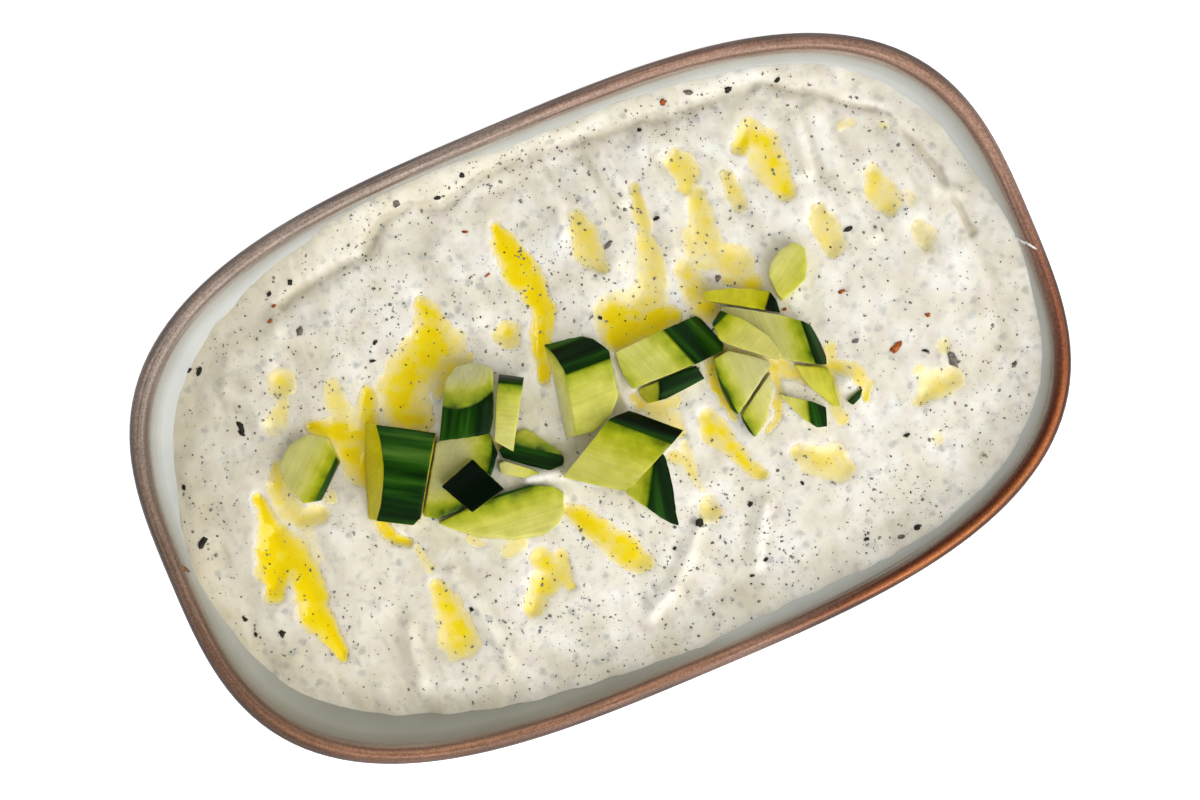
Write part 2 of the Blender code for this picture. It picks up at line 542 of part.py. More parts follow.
def main():
    for old in list(bpy.data.objects):
        bpy.data.objects.remove(old)
    parts = make_collection("dish_of_haydari")
    make_dish(parts)
    make_dip(parts)
    flesh = material(*FLESH)
    for index, piece in enumerate(PIECES):
        slice_of = new_object(f"cucumber_{index + 1:02d}", cucumber_mesh(piece), parts)
        slice_of.data.materials.append(flesh)


main()
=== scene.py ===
"""The looks of a stoneware dish of haydari: its glaze, the yoghurt dip, oil, herbs and cucumber.

Lengths are in millimetres and MM turns them into metres. The camera looks straight down on the
dish, which lies turned in the picture, under a broad soft light.
"""

import math

import bpy
import numpy as np
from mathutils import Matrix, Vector
from mathutils.bvhtree import BVHTree


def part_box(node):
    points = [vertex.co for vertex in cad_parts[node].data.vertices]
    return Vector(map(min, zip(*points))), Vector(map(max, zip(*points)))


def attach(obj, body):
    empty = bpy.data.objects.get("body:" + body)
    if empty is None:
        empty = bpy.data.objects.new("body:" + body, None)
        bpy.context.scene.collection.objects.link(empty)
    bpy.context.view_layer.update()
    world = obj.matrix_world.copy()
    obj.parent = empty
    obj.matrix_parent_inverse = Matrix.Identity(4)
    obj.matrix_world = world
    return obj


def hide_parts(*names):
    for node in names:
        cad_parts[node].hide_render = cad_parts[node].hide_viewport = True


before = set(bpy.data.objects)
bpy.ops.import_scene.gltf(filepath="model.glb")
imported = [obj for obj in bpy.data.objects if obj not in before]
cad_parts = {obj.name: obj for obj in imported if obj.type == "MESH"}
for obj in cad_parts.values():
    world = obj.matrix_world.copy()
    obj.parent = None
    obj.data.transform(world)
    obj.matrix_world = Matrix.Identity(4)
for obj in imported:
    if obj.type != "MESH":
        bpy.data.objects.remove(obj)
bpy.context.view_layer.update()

MM = 0.001
BODY = "root"
LATTICE = 64

# The dish: a superellipse outline, whose wall is a curve of inset against height.
dish_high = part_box("dish")[1] / MM
HALF_LENGTH = dish_high.x
HALF_WIDTH = dish_high.y
DISH_HEIGHT = dish_high.z
OUTLINE_POWER = 3.1
LIP_WIDTH = 3.6
LIP_RISE = 1.5
WALL_TOP = DISH_HEIGHT - LIP_RISE
FLOOR_TOP = 5.5
FLOOR_INSET = 30.0
INNER_CURVE = 1.9
OUTER_INSET = 21.0
OUTER_LOW = 3.0
OUTER_CURVE = 1.35
FOOT_OUTER_INSET = 23.5
FOOT_INNER_INSET = 28.0
FOOT_RECESS = 1.6
FOOT_ROUNDING = 0.6
DISH_STEPS = 240
DISH_WELD = 0.01
RING_SIZE = 100

# The dip: the level, the edge on the wall, and the marks of the spoon.
DIP_LEVEL = 23.2
DIP_EDGE_INSET = 5.7
DIP_EDGE_NEAREST = 4.3
DIP_OVERLAP = 0.5
DIP_CELLS = (380, 232)
DIP_SHARES = (0.66, 0.3, 0.0)
DIP_GAP = 0.6
HOLLOW_SPREAD = 20
BORDER_WIDTH = 9.0
EDGE_SWELLS = (
    (0, 7, -1.8), (24, 20, 1.0), (108, 26, -1.5), (155, 18, 2.0), (180, 7, -2.0), (210, 32, 3.2),
)
EDGE_WAVES = ((0.35, 5, 1), (0.25, 9, 0))
# The finer relief: lean and stretch of the smears, their width and height, and the seed.
SMEARS = (
    (0, 3.2, 2.6, 0.22, 31), (0, 2.4, 1.2, 0.09, 32), (0.2, 2.8, 5.5, 0.38, 36),
    (0, 1, 5.2, 0.28, 33), (0, 1, 0.9, 0.04, 34),
)
SMOOTH_UNDER_OIL, SMOOTH_FROM = 0.8, 0.2
RIDGE_HEIGHT = 1.5
RIDGES = (
    ((4.8, 54, 1.6), (6, 48, 1.9), (7.6, 42, 1.7), (6.8, 36, 1.5)),
    ((19.5, 51, 1.6), (20.2, 45, 1.9), (21, 38, 1.6)),
    ((31, 50, 1.6), (32.5, 44, 1.7)),
    ((38, 51, 1.6), (40.5, 46, 1.9), (43.5, 40, 1.7), (45.5, 34, 1.4)),
    ((58, 48, 1.6), (62, 43, 2.1), (61.5, 36, 1.9), (60, 28, 1.6)),
    ((66, 40, 1.7), (66.5, 30, 2.1), (66, 20, 1.7), (67.5, 10, 1.9)),
    ((80, 36, 1.9), (82, 24, 2.1), (84, 14, 2.1), (88, 11, 1.5)),
    ((-73.5, 33.5, 1.5), (-70.5, 30, 1.8), (-69, 24, 1.6)),
    ((-58, 41, 2.8), (-50, 36, 3.8), (-46, 27, 3.2)),
    ((-20, 43, 2.2), (-18, 35, 2.6), (-17, 27, 2.2)),
    ((14.5, 47, 2.2), (15.5, 36, 2.8), (15, 26, 2.2)),
    ((28, 46, 1.9), (28.5, 36, 2.4), (27.5, 24, 1.9)),
    ((-57, -29, 1.7), (-58.5, -36, 1.8), (-60, -43, 1.6)),
    ((-44, -22, 1.5), (-42, -29, 1.7), (-40.5, -38, 1.5), (-40, -44, 1.4)),
    ((-8, -47, 1.7), (-1, -43.5, 1.8), (5, -38, 1.8), (9, -33.5, 1.4)),
    ((24, -35, 1.5), (19.5, -41, 1.7), (17, -46, 1.5)),
    ((-66, 5, 3.4), (-64, -8, 4), (-62, -22, 3.4)),
    ((-21, -10, 1.4), (-14.5, -11, 1.8)),
    ((5.4, 6, 1.2), (4.6, -3, 1.5)),
)
BLOB_HEIGHT = 2.6
BLOB = ((50.2, -17.6, 2.4),)
CREASE_DEPTH = 1.15
CREASE_WANDER = (0.9, 6.5, 35)
CREASE = (
    (-56, 44.5, 1.4), (-50.7, 46.3, 1.8), (-42, 47.6, 1.8), (-34.7, 48.3, 1.8),
    (-29.3, 53, 1.6), (-21.3, 54.3, 1.5), (-15.5, 51.2, 1.7), (-10.7, 52.3, 1.6),
    (0, 55, 1.6), (10.7, 54.5, 1.7), (29.3, 51.7, 1.8), (46, 50.5, 1.8),
    (57, 48.5, 1.6), (68, 42.5, 1.3), (80, 33, 1.2), (86.5, 18, 1.1), (88, 2, 0.9),
)

# Painted shade on the dip: darker near the wall, a little more on the left, and over its left end.
SHADE_BORDER, SHADE_MIDDLE, SHADE_LEAN = 26, 0.5, 300
SHADE_END, SHADE_END_FROM, SHADE_END_WIDTH = 0.45, -35, 25

# The oil: chains of (x, y, half width) with how deep each lies, 1 for the deepest yellow.
HOLLOW_DEPTH = 1.1
OIL_DEPTH = 0.9
OIL_RIM = math.exp(-1.4)
OIL_WAVER = ((0.55, 3.1), (0.3, 1.3))
OIL_SHIFT = (0.1, -0.3)
OIL_DRIFT = (0.01, 0.005)
POOLS = (
    (1, ((-76, 9, 1), (-76.3, 5, 1.9), (-76.6, 1.5, 2.8), (-78, -2.5, 3.4), (-78.6, -6, 3.9),
        (-80.8, -10.2, 1.8))),
    (1, ((-75.2, 0, 2.4), (-74.4, -5, 3.8), (-73.6, -11, 3.2), (-73.8, -15.5, 3.1), (-74.4, -19, 3.3),
        (-73, -24, 2), (-72.3, -29, 1.2))),
    (0.5, ((-70.2, 14, 1.3), (-71.3, 9.5, 2.3), (-71.2, 5, 2.6), (-69.5, 1.6, 2.2), (-65.3, 0.8, 1.8))),
    (0.8, ((-60, 18.6, 1.6), (-56, 16.5, 2.8), (-53.5, 13.5, 3), (-54.2, 9, 3.2), (-53.3, 5.5, 3.2))),
    (0.5, ((-62.5, 29.8, 3),)),
    (0.7, ((-46.3, 20.5, 1.7), (-48.3, 16, 3), (-50.6, 8, 2), (-53.6, -2, 1.5), (-54, -7, 1.4),
        (-52.8, -10.6, 1.2), (-50.3, -12.2, 1))),
    (0.75, ((-27.8, 34.6, 1.4), (-27.7, 31, 2.6), (-28.5, 26.5, 4), (-30.5, 23, 5.6),
        (-35.5, 21.5, 5), (-39.2, 18, 4.8), (-39.4, 14, 4.4), (-38, 10.8, 2.8))),
    (0.6, ((-13.5, 20.5, 2.8),)),
    (1, ((-6.5, 43, 1.1), (-6.6, 39, 2.4), (-5.8, 33.5, 3.4), (-4.6, 28, 3), (-4.2, 23, 2.4),
        (-5.8, 18.8, 2.3), (-8.2, 14, 1.9), (-9.5, 9, 1.3))),
    (0.5, ((9.8, 38.5, 1.6), (9.9, 34.5, 2.7), (9.6, 30, 3), (10.8, 26.2, 1.5))),
    (0.45, ((24, 39, 1), (23.4, 35, 1.4), (22.6, 30, 1.7), (21.8, 25, 2.5), (20.3, 21, 3),
        (18.2, 16.5, 4), (13.5, 14.5, 4.6), (9.8, 15.2, 4.6))),
    (0.5, ((35.2, 42.5, 1.3), (34.9, 40, 2.7), (35.3, 36.5, 2.7), (34.9, 34.5, 1.4))),
    (0.45, ((36, 32.3, 1.9), (34.9, 28, 2.8), (33.6, 23, 3.3), (34.4, 19, 2.8), (38.3, 15.5, 3.7))),
    (0.5, ((27.4, 18.5, 2.3), (27.7, 13, 2.9))),
    (0.4, ((43.5, 34, 1.2), (43.4, 29.5, 2.1), (43.6, 27.3, 1.8))),
    (0.6, ((48.4, 38.4, 1.8), (52, 41, 2.2), (53.2, 37, 3.4), (52.9, 31.5, 3.5), (53.8, 26, 2.3))),
    (0.45, ((58.9, 19.3, 1.8), (58.6, 16, 3), (59.2, 12, 2.7), (58.6, 10.2, 1.6))),
    (0.5, ((72.8, 21.8, 2), (73, 18, 3.1), (73.4, 14.6, 2.4))),
    (0.2, ((77.5, 7.5, 1.8), (78, 5, 2.4), (77.5, 3, 1.4))),
    (0.6, ((19.8, -12.6, 2), (20.2, -16, 2.7), (21.8, -20.2, 1.9), (24, -25.2, 1.7),
        (25.6, -28.4, 1.3))),
    (0.4, ((12.6, -30.8, 2.6),)),
    (0.45, ((35, -27, 1.7), (37.7, -29.6, 2.9), (41, -31.3, 3.4), (42.9, -34, 2.5))),
    (0.4, ((64, -27, 1.6), (67.5, -25, 3), (71, -25.3, 2.8))),
    (0.7, ((-15.6, -19, 1.6), (-13.2, -22.5, 2.3), (-10.7, -27, 2.6), (-8, -31, 3),
        (-5.9, -34.8, 2.8))),
    (0.6, ((-25, -27, 2.5), (-24.6, -30, 3.7), (-28.5, -33.3, 2.4), (-31, -36.3, 1.7))),
    (0.7, ((-48.2, -23.5, 1.6), (-47.9, -27, 2.5), (-47.4, -31.5, 3.3), (-47.8, -35.5, 4.2))),
)
# Thin films beside the pools, which leave no hollow.
FILMS = (
    (0.6, ((-81.2, -11.2, 1.8),)),
    (0.15, ((-69.8, -2, 2.2), (-69.4, -7, 1.4))),
    (0.3, ((-62, 3.5, 1.5),)),
    (0.3, ((-66.9, 22.4, 2.6), (-64, 25.4, 1.8))),
    (0.4, ((-52, 17.5, 2.6), (-53.2, 21.5, 2.2), (-52.6, 25.5, 1.5))),
    (0.3, ((-49, -14, 0.9), (-48.2, -19, 1.1))),
    (0.4, ((-25.2, 23, 3.2), (-27, 19.5, 2.2), (-31, 16.4, 1.3))),
    (0.3, ((-8.8, 13, 1.4), (-9.6, 8, 1.1))),
    (1, ((9.5, 11.5, 3.8), (14, 10.8, 2.9), (20, 10.8, 2.8))),
    (0.85, ((9.4, 15, 4), (12.5, 13.6, 3.4))),
    (0.35, ((30.6, 24.8, 1.6), (30.2, 20.5, 1.4))),
    (0.6, ((39.5, 10.5, 2.6),)),
    (0.6, ((28.2, 9.6, 2.9),)),
    (0.4, ((30.5, 18.5, 1.2), (33, 17.6, 1))),
    (0.5, ((34.5, 13, 1.2), (38, 11.8, 1.4))),
    (0.3, ((69.8, 34, 1), (72.5, 33.8, 1))),
    (0.3, ((79, 30.5, 0.9),)),
    (0.15, ((78, 14, 1.9),)),
    (0.45, ((10.6, -6.6, 2.4), (12.4, -10, 2.3), (13.3, -13, 1.3))),
    (0.25, ((12.8, -16, 1.2), (13, -19, 1), (12.6, -22.5, 0.9), (12.8, -26, 0.9))),
    (0.25, ((66, -20.8, 1.6),)),
    (0.2, ((63.5, -35.5, 1.4),)),
    (0.2, ((73, -18.3, 1.6),)),
    (0.5, ((-21, -27.5, 1.8), (-22.3, -32, 2.1), (-21.5, -34.5, 1.1))),
    (0.4, ((-50.5, -38, 1.6),)),
    (0.35, ((-30.8, -21.9, 1.9), (-27.5, -21.6, 1.4))),
    (0.5, ((45, -11.5, 1.6), (49.5, -13, 1.4), (53, -15.5, 1.6), (54.3, -19, 1.3), (53.2, -22, 0.8))),
    (0.4, ((50, -8.5, 1.2), (47, -15.5, 1.2), (46, -23.5, 1.6))),
    (0.5, ((27.5, -0.3, 1.8), (33, -5, 1.8), (39, -9.5, 1.8), (44.5, -13.5, 1.5))),
    (0.5, ((6.5, -2.5, 1.2), (7.5, -4.5, 1.3), (14.5, -6.8, 1.2))),
    (0.4, ((-25, 0.5, 1.3), (-22, -1.8, 1.2))),
    (0.4, ((-37.5, -16.8, 0.9), (-35.5, -18.3, 0.9))),
    (0.6, ((24.6, -2.4, 1.6), (23.8, -6, 1.2), (23.9, -10, 1), (25.2, -14.5, 0.8))),
    (0.5, ((36.4, -9.3, 0.9), (36.5, -13, 1), (34.2, -17.3, 0.9), (31, -20.3, 0.8))),
    (0.4, ((9.5, -16.8, 1.2), (11.8, -19, 1.3), (12.4, -22, 1))),
    (0.5, ((-22.5, 19.6, 1.2), (-27, 19, 1.9), (-31.5, 15.2, 1.6))),
    (0.5, ((39, -8.3, 1.8), (36.8, -9, 1))),
)
OIL_CELL = 0.4
OIL_BOX = (-86, -42, 84, 46)
OIL_SUNK = 0.12
OIL_DIVE = 1.5
OIL_FILM = 0.5

# Cucumber: radius of the fruit, and for each piece how it lay in the fruit. skin is a point of
# the skin, the way it faces and its lean from straight up; core is an upright piece's middle.
# turn rotates the pale stripes of the skin, and pale says how strong they are. deep is how deep
# a green the flesh has, green how far in its green reaches, grey how watery its core looks, and
# oiled how much oil covers it. What a piece doesn't say is as in CUCUMBER_USUAL.
CUCUMBER_RADIUS = 17.0
CUCUMBER_WELD = 0.05
CUCUMBER_FLAT, CUCUMBER_SHARP = 1, 18
CUCUMBER_EDGE = 0.3
CUCUMBER_CELL = 1.1
CUCUMBER_FIRST_CUT = 0.4
CUCUMBER_UNEVEN = 0.09
# The flesh by how many millimetres it lies under the skin, pale or rich.
FLESH_DEPTH = 12.0
FLESH_CLOUD = 3.0
WATERY_CORE = (3.2, 6.5)
PALE_FLESH = ((0, "#35550A"), (0.5, "#7E9216"), (1.4, "#AFB732"), (2.8, "#D0CF5C"),
              (6, "#E2DD80"), (12, "#D8D6A8"))
RICH_FLESH = ((0, "#2A4E08"), (0.7, "#6E8A0A"), (1.8, "#9FA714"), (3.6, "#C3C22C"),
              (7, "#CEC94E"), (12, "#CCC67E"))
CUCUMBER_USUAL = dict(turn=0, deep=0.5, oiled=0.1, green=1, pale=1, grey=0)
CUCUMBERS = {
    1: dict(skin=(-60.5, 6.7, 28.2, -48, 72), turn=10, deep=0.65, oiled=0.3, green=1.2, grey=0.6),
    2: dict(skin=(-45.4, 1.2, 30.5, 60, 0), turn=40, deep=0.7, oiled=1.35, pale=1.12),
    3: dict(skin=(-28, 7, 32.5, -28, 0), turn=80, deep=0.6, green=0.75, pale=1.1, grey=0.9),
    4: dict(skin=(-16.4, 10.8, 28.6, 62, 65), deep=0.35, oiled=0),
    5: dict(core=(-40.6, 6.3), deep=0.35, green=1.6, grey=0.9),
    6: dict(skin=(-32.4, -6.8, 31, 100, 18), turn=120, oiled=0, pale=0.6),
    7: dict(skin=(-28, -10.7, 25.8, 84, 80), oiled=0.2, green=1.5, grey=0.2),
    8: dict(skin=(-17.2, -5.1, 26.2, -125, 22), turn=30, oiled=0),
    9: dict(core=(-30, 1), deep=0.3, oiled=0),
    10: dict(skin=(0, 8.6, 28.9, 88, 30), turn=200, deep=0.15, oiled=0.05, green=0.6),
    11: dict(skin=(5.3, -9.1, 31.8, 50, 42), turn=15, deep=0.9, oiled=0.25, green=1.3, grey=0.4),
    12: dict(skin=(3.2, -22.5, 25.8, -15, 22), turn=150, deep=0.6, green=0.6, pale=0.85),
    13: dict(skin=(20.8, 3.3, 29, 21, 25), turn=70, deep=0.15, oiled=0.05, green=0.6, grey=0.35),
    14: dict(skin=(17, -3.5, 27.2, -93, 12), turn=60, oiled=0.5),
    15: dict(skin=(50.5, 3.2, 27, -60, 70)),
    16: dict(skin=(41.2, 4.6, 26.8, -25, 35), deep=0.6, oiled=0.9),
    17: dict(skin=(46, -7, 28.6, -2, 50), turn=100, deep=0.6, grey=0.5),
    18: dict(skin=(30.4, 5.6, 30.2, 115, 60), deep=0.55, oiled=0.4, grey=0.4),
    19: dict(skin=(25.1, -8, 26.4, 185, 78), deep=0.3, grey=0.5),
    20: dict(skin=(26.5, -17, 25.6, 190, 84), deep=0.3, oiled=0.2, grey=0.3),
    21: dict(skin=(41, -21, 25.5, -8, 20), turn=30, deep=0.3, oiled=0.2, green=0.25),
    22: dict(skin=(48.5, -15, 25, 0, 70), deep=0.6, oiled=0.5),
    23: dict(skin=(50.7, -21, 25, -60, 20), deep=0.6, oiled=0),
}

# Herb flakes that can be told apart: x, y, length, width and turn in degrees, by kind.
DARK_FLAKES = (
    (-73.8, 24.6, 2.6, 1.2, 105), (-90.8, 4.8, 2.8, 1.3, 35), (-82.9, -20, 1.8, 1.4, 90),
    (9.3, -32.9, 2, 1.6, 30), (-77.6, 39, 2, 1.1, 50), (51.3, 50.6, 1.7, 1.3, 0),
    (63.5, 12.8, 2.6, 0.9, 2), (26, 31, 2, 1.1, 0), (52.2, -52, 1.8, 1.1, 10),
    (-74.1, 23.1, 1.6, 1, 120), (-8.7, 55.7, 1.3, 1, 80), (61.8, 48.3, 1.3, 0.9, 20),
    (30.2, 50, 1, 0.8, 0), (-51.8, 49, 1.4, 1, 70), (-57, 48.5, 1.2, 0.8, 30),
    (-40, 30, 1.4, 0.7, 30), (-42, 26.5, 1.5, 0.6, -15), (-90.2, 17.3, 1.2, 0.9, 90),
    (-89, -14, 1.3, 0.8, 110), (-88.2, -18, 1.1, 0.7, 80), (-43.3, -31, 1.2, 0.8, 120),
    (2.2, -36, 0.9, 0.7, 0), (20.9, -33.6, 1.2, 0.9, 20), (33, -33.8, 1.1, 0.7, 110),
    (57.7, -33, 1.3, 0.8, 0), (89.3, -33.4, 1, 0.8, 0), (41, -50.2, 1.2, 0.7, 0),
    (15.3, -48, 1, 0.7, 0), (19.3, -45.9, 1.1, 0.8, 30), (68.5, -17.8, 1.5, 0.6, -30),
    (12.7, -59, 0.9, 0.7, 0), (-15, -58.5, 0.8, 0.6, 0), (-43, -56, 0.9, 0.6, 20),
    (-79.4, 40.2, 1.4, 0.9, 40), (6.8, 16, 0.9, 0.9, 0), (-15.5, 53.4, 1.3, 0.8, -10),
)
GREY_FLAKES = (
    (73.3, -22.3, 3.7, 1.9, 100), (43, 53.2, 1.9, 1.2, -30), (33.5, 14, 1.6, 1.1, 60),
    (55.5, -10, 1.5, 0.9, 0), (-54, 38.5, 2.2, 1.4, 60), (-24, 55.5, 1.8, 1.2, 20),
    (85, -28, 1.6, 1, 40), (48, -52.6, 1.5, 0.9, 0), (14.5, 29.8, 2.4, 0.9, 25),
)
CHILLI_FLAKES = (
    (62.7, -14.7, 4.8, 1.5, 22), (37.2, 53.5, 1.6, 1.3, 0), (-57, 45.7, 1, 0.7, 0),
    (-59, 43, 1.3, 0.8, 20), (-13, 44.5, 1.8, 0.5, -25), (-12, 34, 1.4, 0.5, 10),
    (57, 1, 1.6, 0.9, 0), (72, -11, 1.2, 0.9, 0), (44, 2.3, 1, 0.7, 0),
)
# A flake stuck to the wall, and a thin smear of yoghurt over the lip.
WALL_FLAKE = ((-96.3, 1.3, 2.9, 0.7, -55),)
LIP_SMEAR = ((95.3, -2.9, 2.4, 0.6, -52), (96.4, -4.4, 2.4, 0.6, -54), (97.5, -5.9, 2.4, 0.5, -56))
FLAKE_THICKNESS = 0.7

# The scattered herbs: how many, and the range of their lengths. Those under the surface are
# only colour, in SPECK_TINTS.
SPECK_KINDS = (
    ("specks_dark", 1700, 0.16, 0.6), ("specks_olive", 1800, 0.25, 1.0),
    ("specks_brown", 380, 0.2, 0.6),
)
SPECK_SEED = 11
SPECK_THICKNESS = 0.3
SPECK_SLIM = (0.35, 0.85)
SPECK_MARGIN = 0.6
SPECKS_OUTWARD = 0.42
SPECKS_SMALL = 2.2
SPECK_CROWDS = (11, 44)
SPECK_CHANCE = (-1.3, 0.7)
SLOPE_REACH = 0.5
CRUMPLE = 0.35
SPECK_TINTS = ((0.0, "#3A362E"), (0.35, "#5E5C4C"), (0.7, "#7C7D6E"), (0.86, "#6E5340"),
               (0.96, "#B0864E"), (1.0, "#C98A6A"))

# The glaze across the rim, in millimetres in from the outline: grey brown, and copper on the side
# towards the light. In both, the pale band over the lip is partly a painted highlight, and the dark
# line at the outline is partly painted shade.
RIM_LOW, RIM_HIGH = -8.0, 8.0
GREY_RIM_WITH_HIGHLIGHT = (
    (-8, "#A39A8C"), (-0.8, "#665950"), (0.1, "#43362F"), (0.9, "#7E6D61"), (1.8, "#A48F81"),
    (2.6, "#AE9A8A"), (3.1, "#765D4B"), (3.9, "#A5A198"), (6.0, "#C6C8C3"))
COPPER_RIM_WITH_HIGHLIGHT = (
    (-8, "#A39A8C"), (-0.8, "#5A3A22"), (0.5, "#4A2812"), (1.2, "#985826"), (1.8, "#8C4C20"),
    (2.5, "#5E2A14"), (3.1, "#63493A"), (4.2, "#A09E95"), (6.0, "#C0C2BC"))
LIP_FADE = (3.0, 4.4)
BARE_FOOT = (-23.2, -22.4)
# A side of the dish: the way it faces in degrees, and the cosines between which it fades in.
COPPER_SIDE = (322, 0.68, 1.0)
COPPER_LUSTRE = 0.55
# Tints multiplied over the glaze: the part they lie on, the side as in COPPER_SIDE, and the tint. The
# tint on the wall at 225 degrees is painted shade on that side of the inner wall.
GLAZE_TINTS_AND_SHADE = (
    ("lip", (28, 0.3, 0.95), "#FFE2D4"), ("wall", (225, 0.5, 0.95), "#CECABE"),
    ("lip", (183, 0.85, 1.0), "#CAC6BE"), ("lip", (236, 0.2, 0.9), "#F2C8AA"),
)

# The view: straight down, with the dish turned in the picture.
PHOTO_WIDTH, PHOTO_HEIGHT = 1200, 800
MM_PER_PIXEL = 0.2135
DISH_MIDDLE = (600.3, 398.4)
DISH_TURN = 22.92
LENS = 100.0
SENSOR = 36.0

# The light: a broad soft box on one side of a pale room, whose ceiling is darker.
LIGHT_WAY = (0.38, -0.93)
LIGHT_RISE = 45
LIGHT_DISTANCE = 900
LIGHT_SIZE = 900
LIGHT_WATTS = 7.0
ROOM_BRIGHT = 1.05
CEILING_BRIGHT = 0.12
CEILING_FROM, CEILING_FULL = 60, 24
FLOOR_SIZE = 3000
FLOOR_GLOW = 0.6


# ---------------- small tools

def linear(hex_colour):
    """Linear red, green, blue and alpha of an sRGB hex colour."""
    shares = [int(hex_colour[i:i + 2], 16) / 255 for i in (1, 3, 5)]
    return tuple(s / 12.92 if s <= 0.04045 else ((s + 0.055) / 1.055) ** 2.4 for s in shares) + (1,)


def link(thing):
    bpy.context.scene.collection.objects.link(thing)
    return thing


def start(name, add, **settings):
    """Adds a primitive by its operator, alone selected, and names it."""
    bpy.ops.object.select_all(action="DESELECT")
    add(**settings)
    piece = bpy.context.object
    piece.name = piece.data.name = name
    return piece


def edit(on):
    bpy.ops.object.mode_set(mode="EDIT" if on else "OBJECT")


def extrude(x, y, z):
    """In edit mode, draws out what is selected by these metres."""
    bpy.ops.mesh.extrude_region_move(TRANSFORM_OT_translate={"value": (x, y, z)})


def face_outwards():
    """In edit mode, turns all faces outwards, and leaves it."""
    bpy.ops.mesh.select_all(action="SELECT")
    bpy.ops.mesh.normals_make_consistent(inside=False)
    edit(False)


def corners(piece):
    found = np.empty(len(piece.data.vertices) * 3)
    piece.data.vertices.foreach_get("co", found)
    return found.reshape(-1, 3) / MM


def set_corners(piece, places):
    piece.data.vertices.foreach_set("co", (np.asarray(places) * MM).ravel())
    piece.data.update()


def select_vertices(piece, chosen):
    """Selects these vertices alone, so that edit mode acts on nothing else."""
    mesh = piece.data
    for part in (mesh.edges, mesh.polygons):
        part.foreach_set("select", np.zeros(len(part), dtype=bool))
    mesh.vertices.foreach_set("select", chosen)


def note(piece, name, values):
    """Stores a number or a vector for each vertex, which the materials read."""
    values = np.asarray(values, dtype=float)
    kind, field = ("FLOAT", "value") if values.ndim == 1 else ("FLOAT_VECTOR", "vector")
    piece.data.attributes.new(name, kind, "POINT").data.foreach_set(field, values.ravel())


def finish_piece(piece, slot, *nodes):
    piece.data.shade_smooth()
    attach(piece, BODY)
    if nodes:
        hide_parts(*nodes)
    return piece


def smoothstep(share):
    share = np.clip(share, 0, 1)
    return share * share * (3 - 2 * share)


def ripple(x, y, size, seed):
    """Smooth random relief from -1 to 1, with bumps about this many millimetres wide."""
    lattice = np.random.default_rng(seed).uniform(-1, 1, (LATTICE, LATTICE))
    column, row = np.floor(x / size).astype(int), np.floor(y / size).astype(int)
    across, up = smoothstep(x / size - column), smoothstep(y / size - row)

    def between(row):
        west, east = (lattice[(column + i) % LATTICE, row % LATTICE] for i in (0, 1))
        return west * (1 - across) + east * across

    return between(row) * (1 - up) + between(row + 1) * up


# ---------------- forms of dish and dip

def outline_radius(angle, half_x, half_y):
    """Distance from the middle to a superellipse, in the direction of angle."""
    across = np.abs(np.cos(angle) / half_x) ** OUTLINE_POWER
    along = np.abs(np.sin(angle) / half_y) ** OUTLINE_POWER
    return (across + along) ** (-1 / OUTLINE_POWER)


def to_outline(angle, inset=0):
    """Distance from the middle to the dish's outline, or to one that lies this far in."""
    return outline_radius(angle, HALF_LENGTH - inset, HALF_WIDTH - inset)


def wall_height(inset):
    """Height of the dish's inner wall, this far in from the outline."""
    left = np.clip(1 - (inset - LIP_WIDTH) / (FLOOR_INSET - LIP_WIDTH), 0, 1)
    return FLOOR_TOP + (WALL_TOP - FLOOR_TOP) * left**INNER_CURVE


def wall_inset(height):
    left = np.clip((height - FLOOR_TOP) / (WALL_TOP - FLOOR_TOP), 0, 1)
    return LIP_WIDTH + (FLOOR_INSET - LIP_WIDTH) * (1 - left ** (1 / INNER_CURVE))


def outer_inset(height):
    left = np.clip(1 - (height - OUTER_LOW) / (WALL_TOP - OUTER_LOW), 0, 1)
    return OUTER_INSET * left**OUTER_CURVE


def path_nearness(x, y, path):
    """1 on the line of a chain of (x, y, half width), about 0.37 at its rim, 0 far off."""
    ratio = np.full(x.shape, np.inf)
    for first, second in zip(path, path[1:] or path):
        step_x, step_y = second[0] - first[0], second[1] - first[1]
        length = max(step_x**2 + step_y**2, 1e-9)
        share = np.clip(((x - first[0]) * step_x + (y - first[1]) * step_y) / length, 0, 1)
        away = np.hypot(x - first[0] - share * step_x, y - first[1] - share * step_y)
        ratio = np.minimum(ratio, away / (first[2] + share * (second[2] - first[2])))
    return np.exp(-(ratio**2))


def edge_inset(angle):
    """How far the dip's edge stands in from the dish's outline."""
    inset = np.full(np.shape(angle), DIP_EDGE_INSET)
    for middle, spread, added in EDGE_SWELLS:
        off = (np.degrees(angle) - middle + 180) % 360 - 180
        inset = inset + added * np.exp(-((off / spread) ** 2))
    for height, waves, begin in EDGE_WAVES:
        inset = inset + height * np.sin(waves * angle + begin)
    return np.maximum(inset, DIP_EDGE_NEAREST)


def spooned_height(x, y):
    """Height of the dip's top with the spoon's marks, as the solid has it."""
    angle = np.arctan2(y, x)
    inset = edge_inset(angle)
    to_edge = to_outline(angle, inset) - np.hypot(x, y)
    # Slow waves of the whole top.
    swirls = 0.5 * np.sin(x / 6.1 + 0.35 * np.sin(y / 9)) * np.cos(y / 21 - 0.4)
    height = DIP_LEVEL + swirls + 0.35 * np.sin(x / 13 - y / 17 + 1)
    for ridge in RIDGES:
        height = height + RIDGE_HEIGHT * path_nearness(x, y, ridge)
    height = height + BLOB_HEIGHT * path_nearness(x, y, BLOB)
    for _, pool in POOLS:
        height = height - HOLLOW_DEPTH * path_nearness(x, y, pool)
    share = smoothstep(to_edge / BORDER_WIDTH)
    edge = wall_height(inset)
    height = edge + (height - edge) * share
    reach, size, seed = CREASE_WANDER
    wander = reach * ripple(x, y, size, seed)
    return height - CREASE_DEPTH * path_nearness(x + wander, y + wander, CREASE)


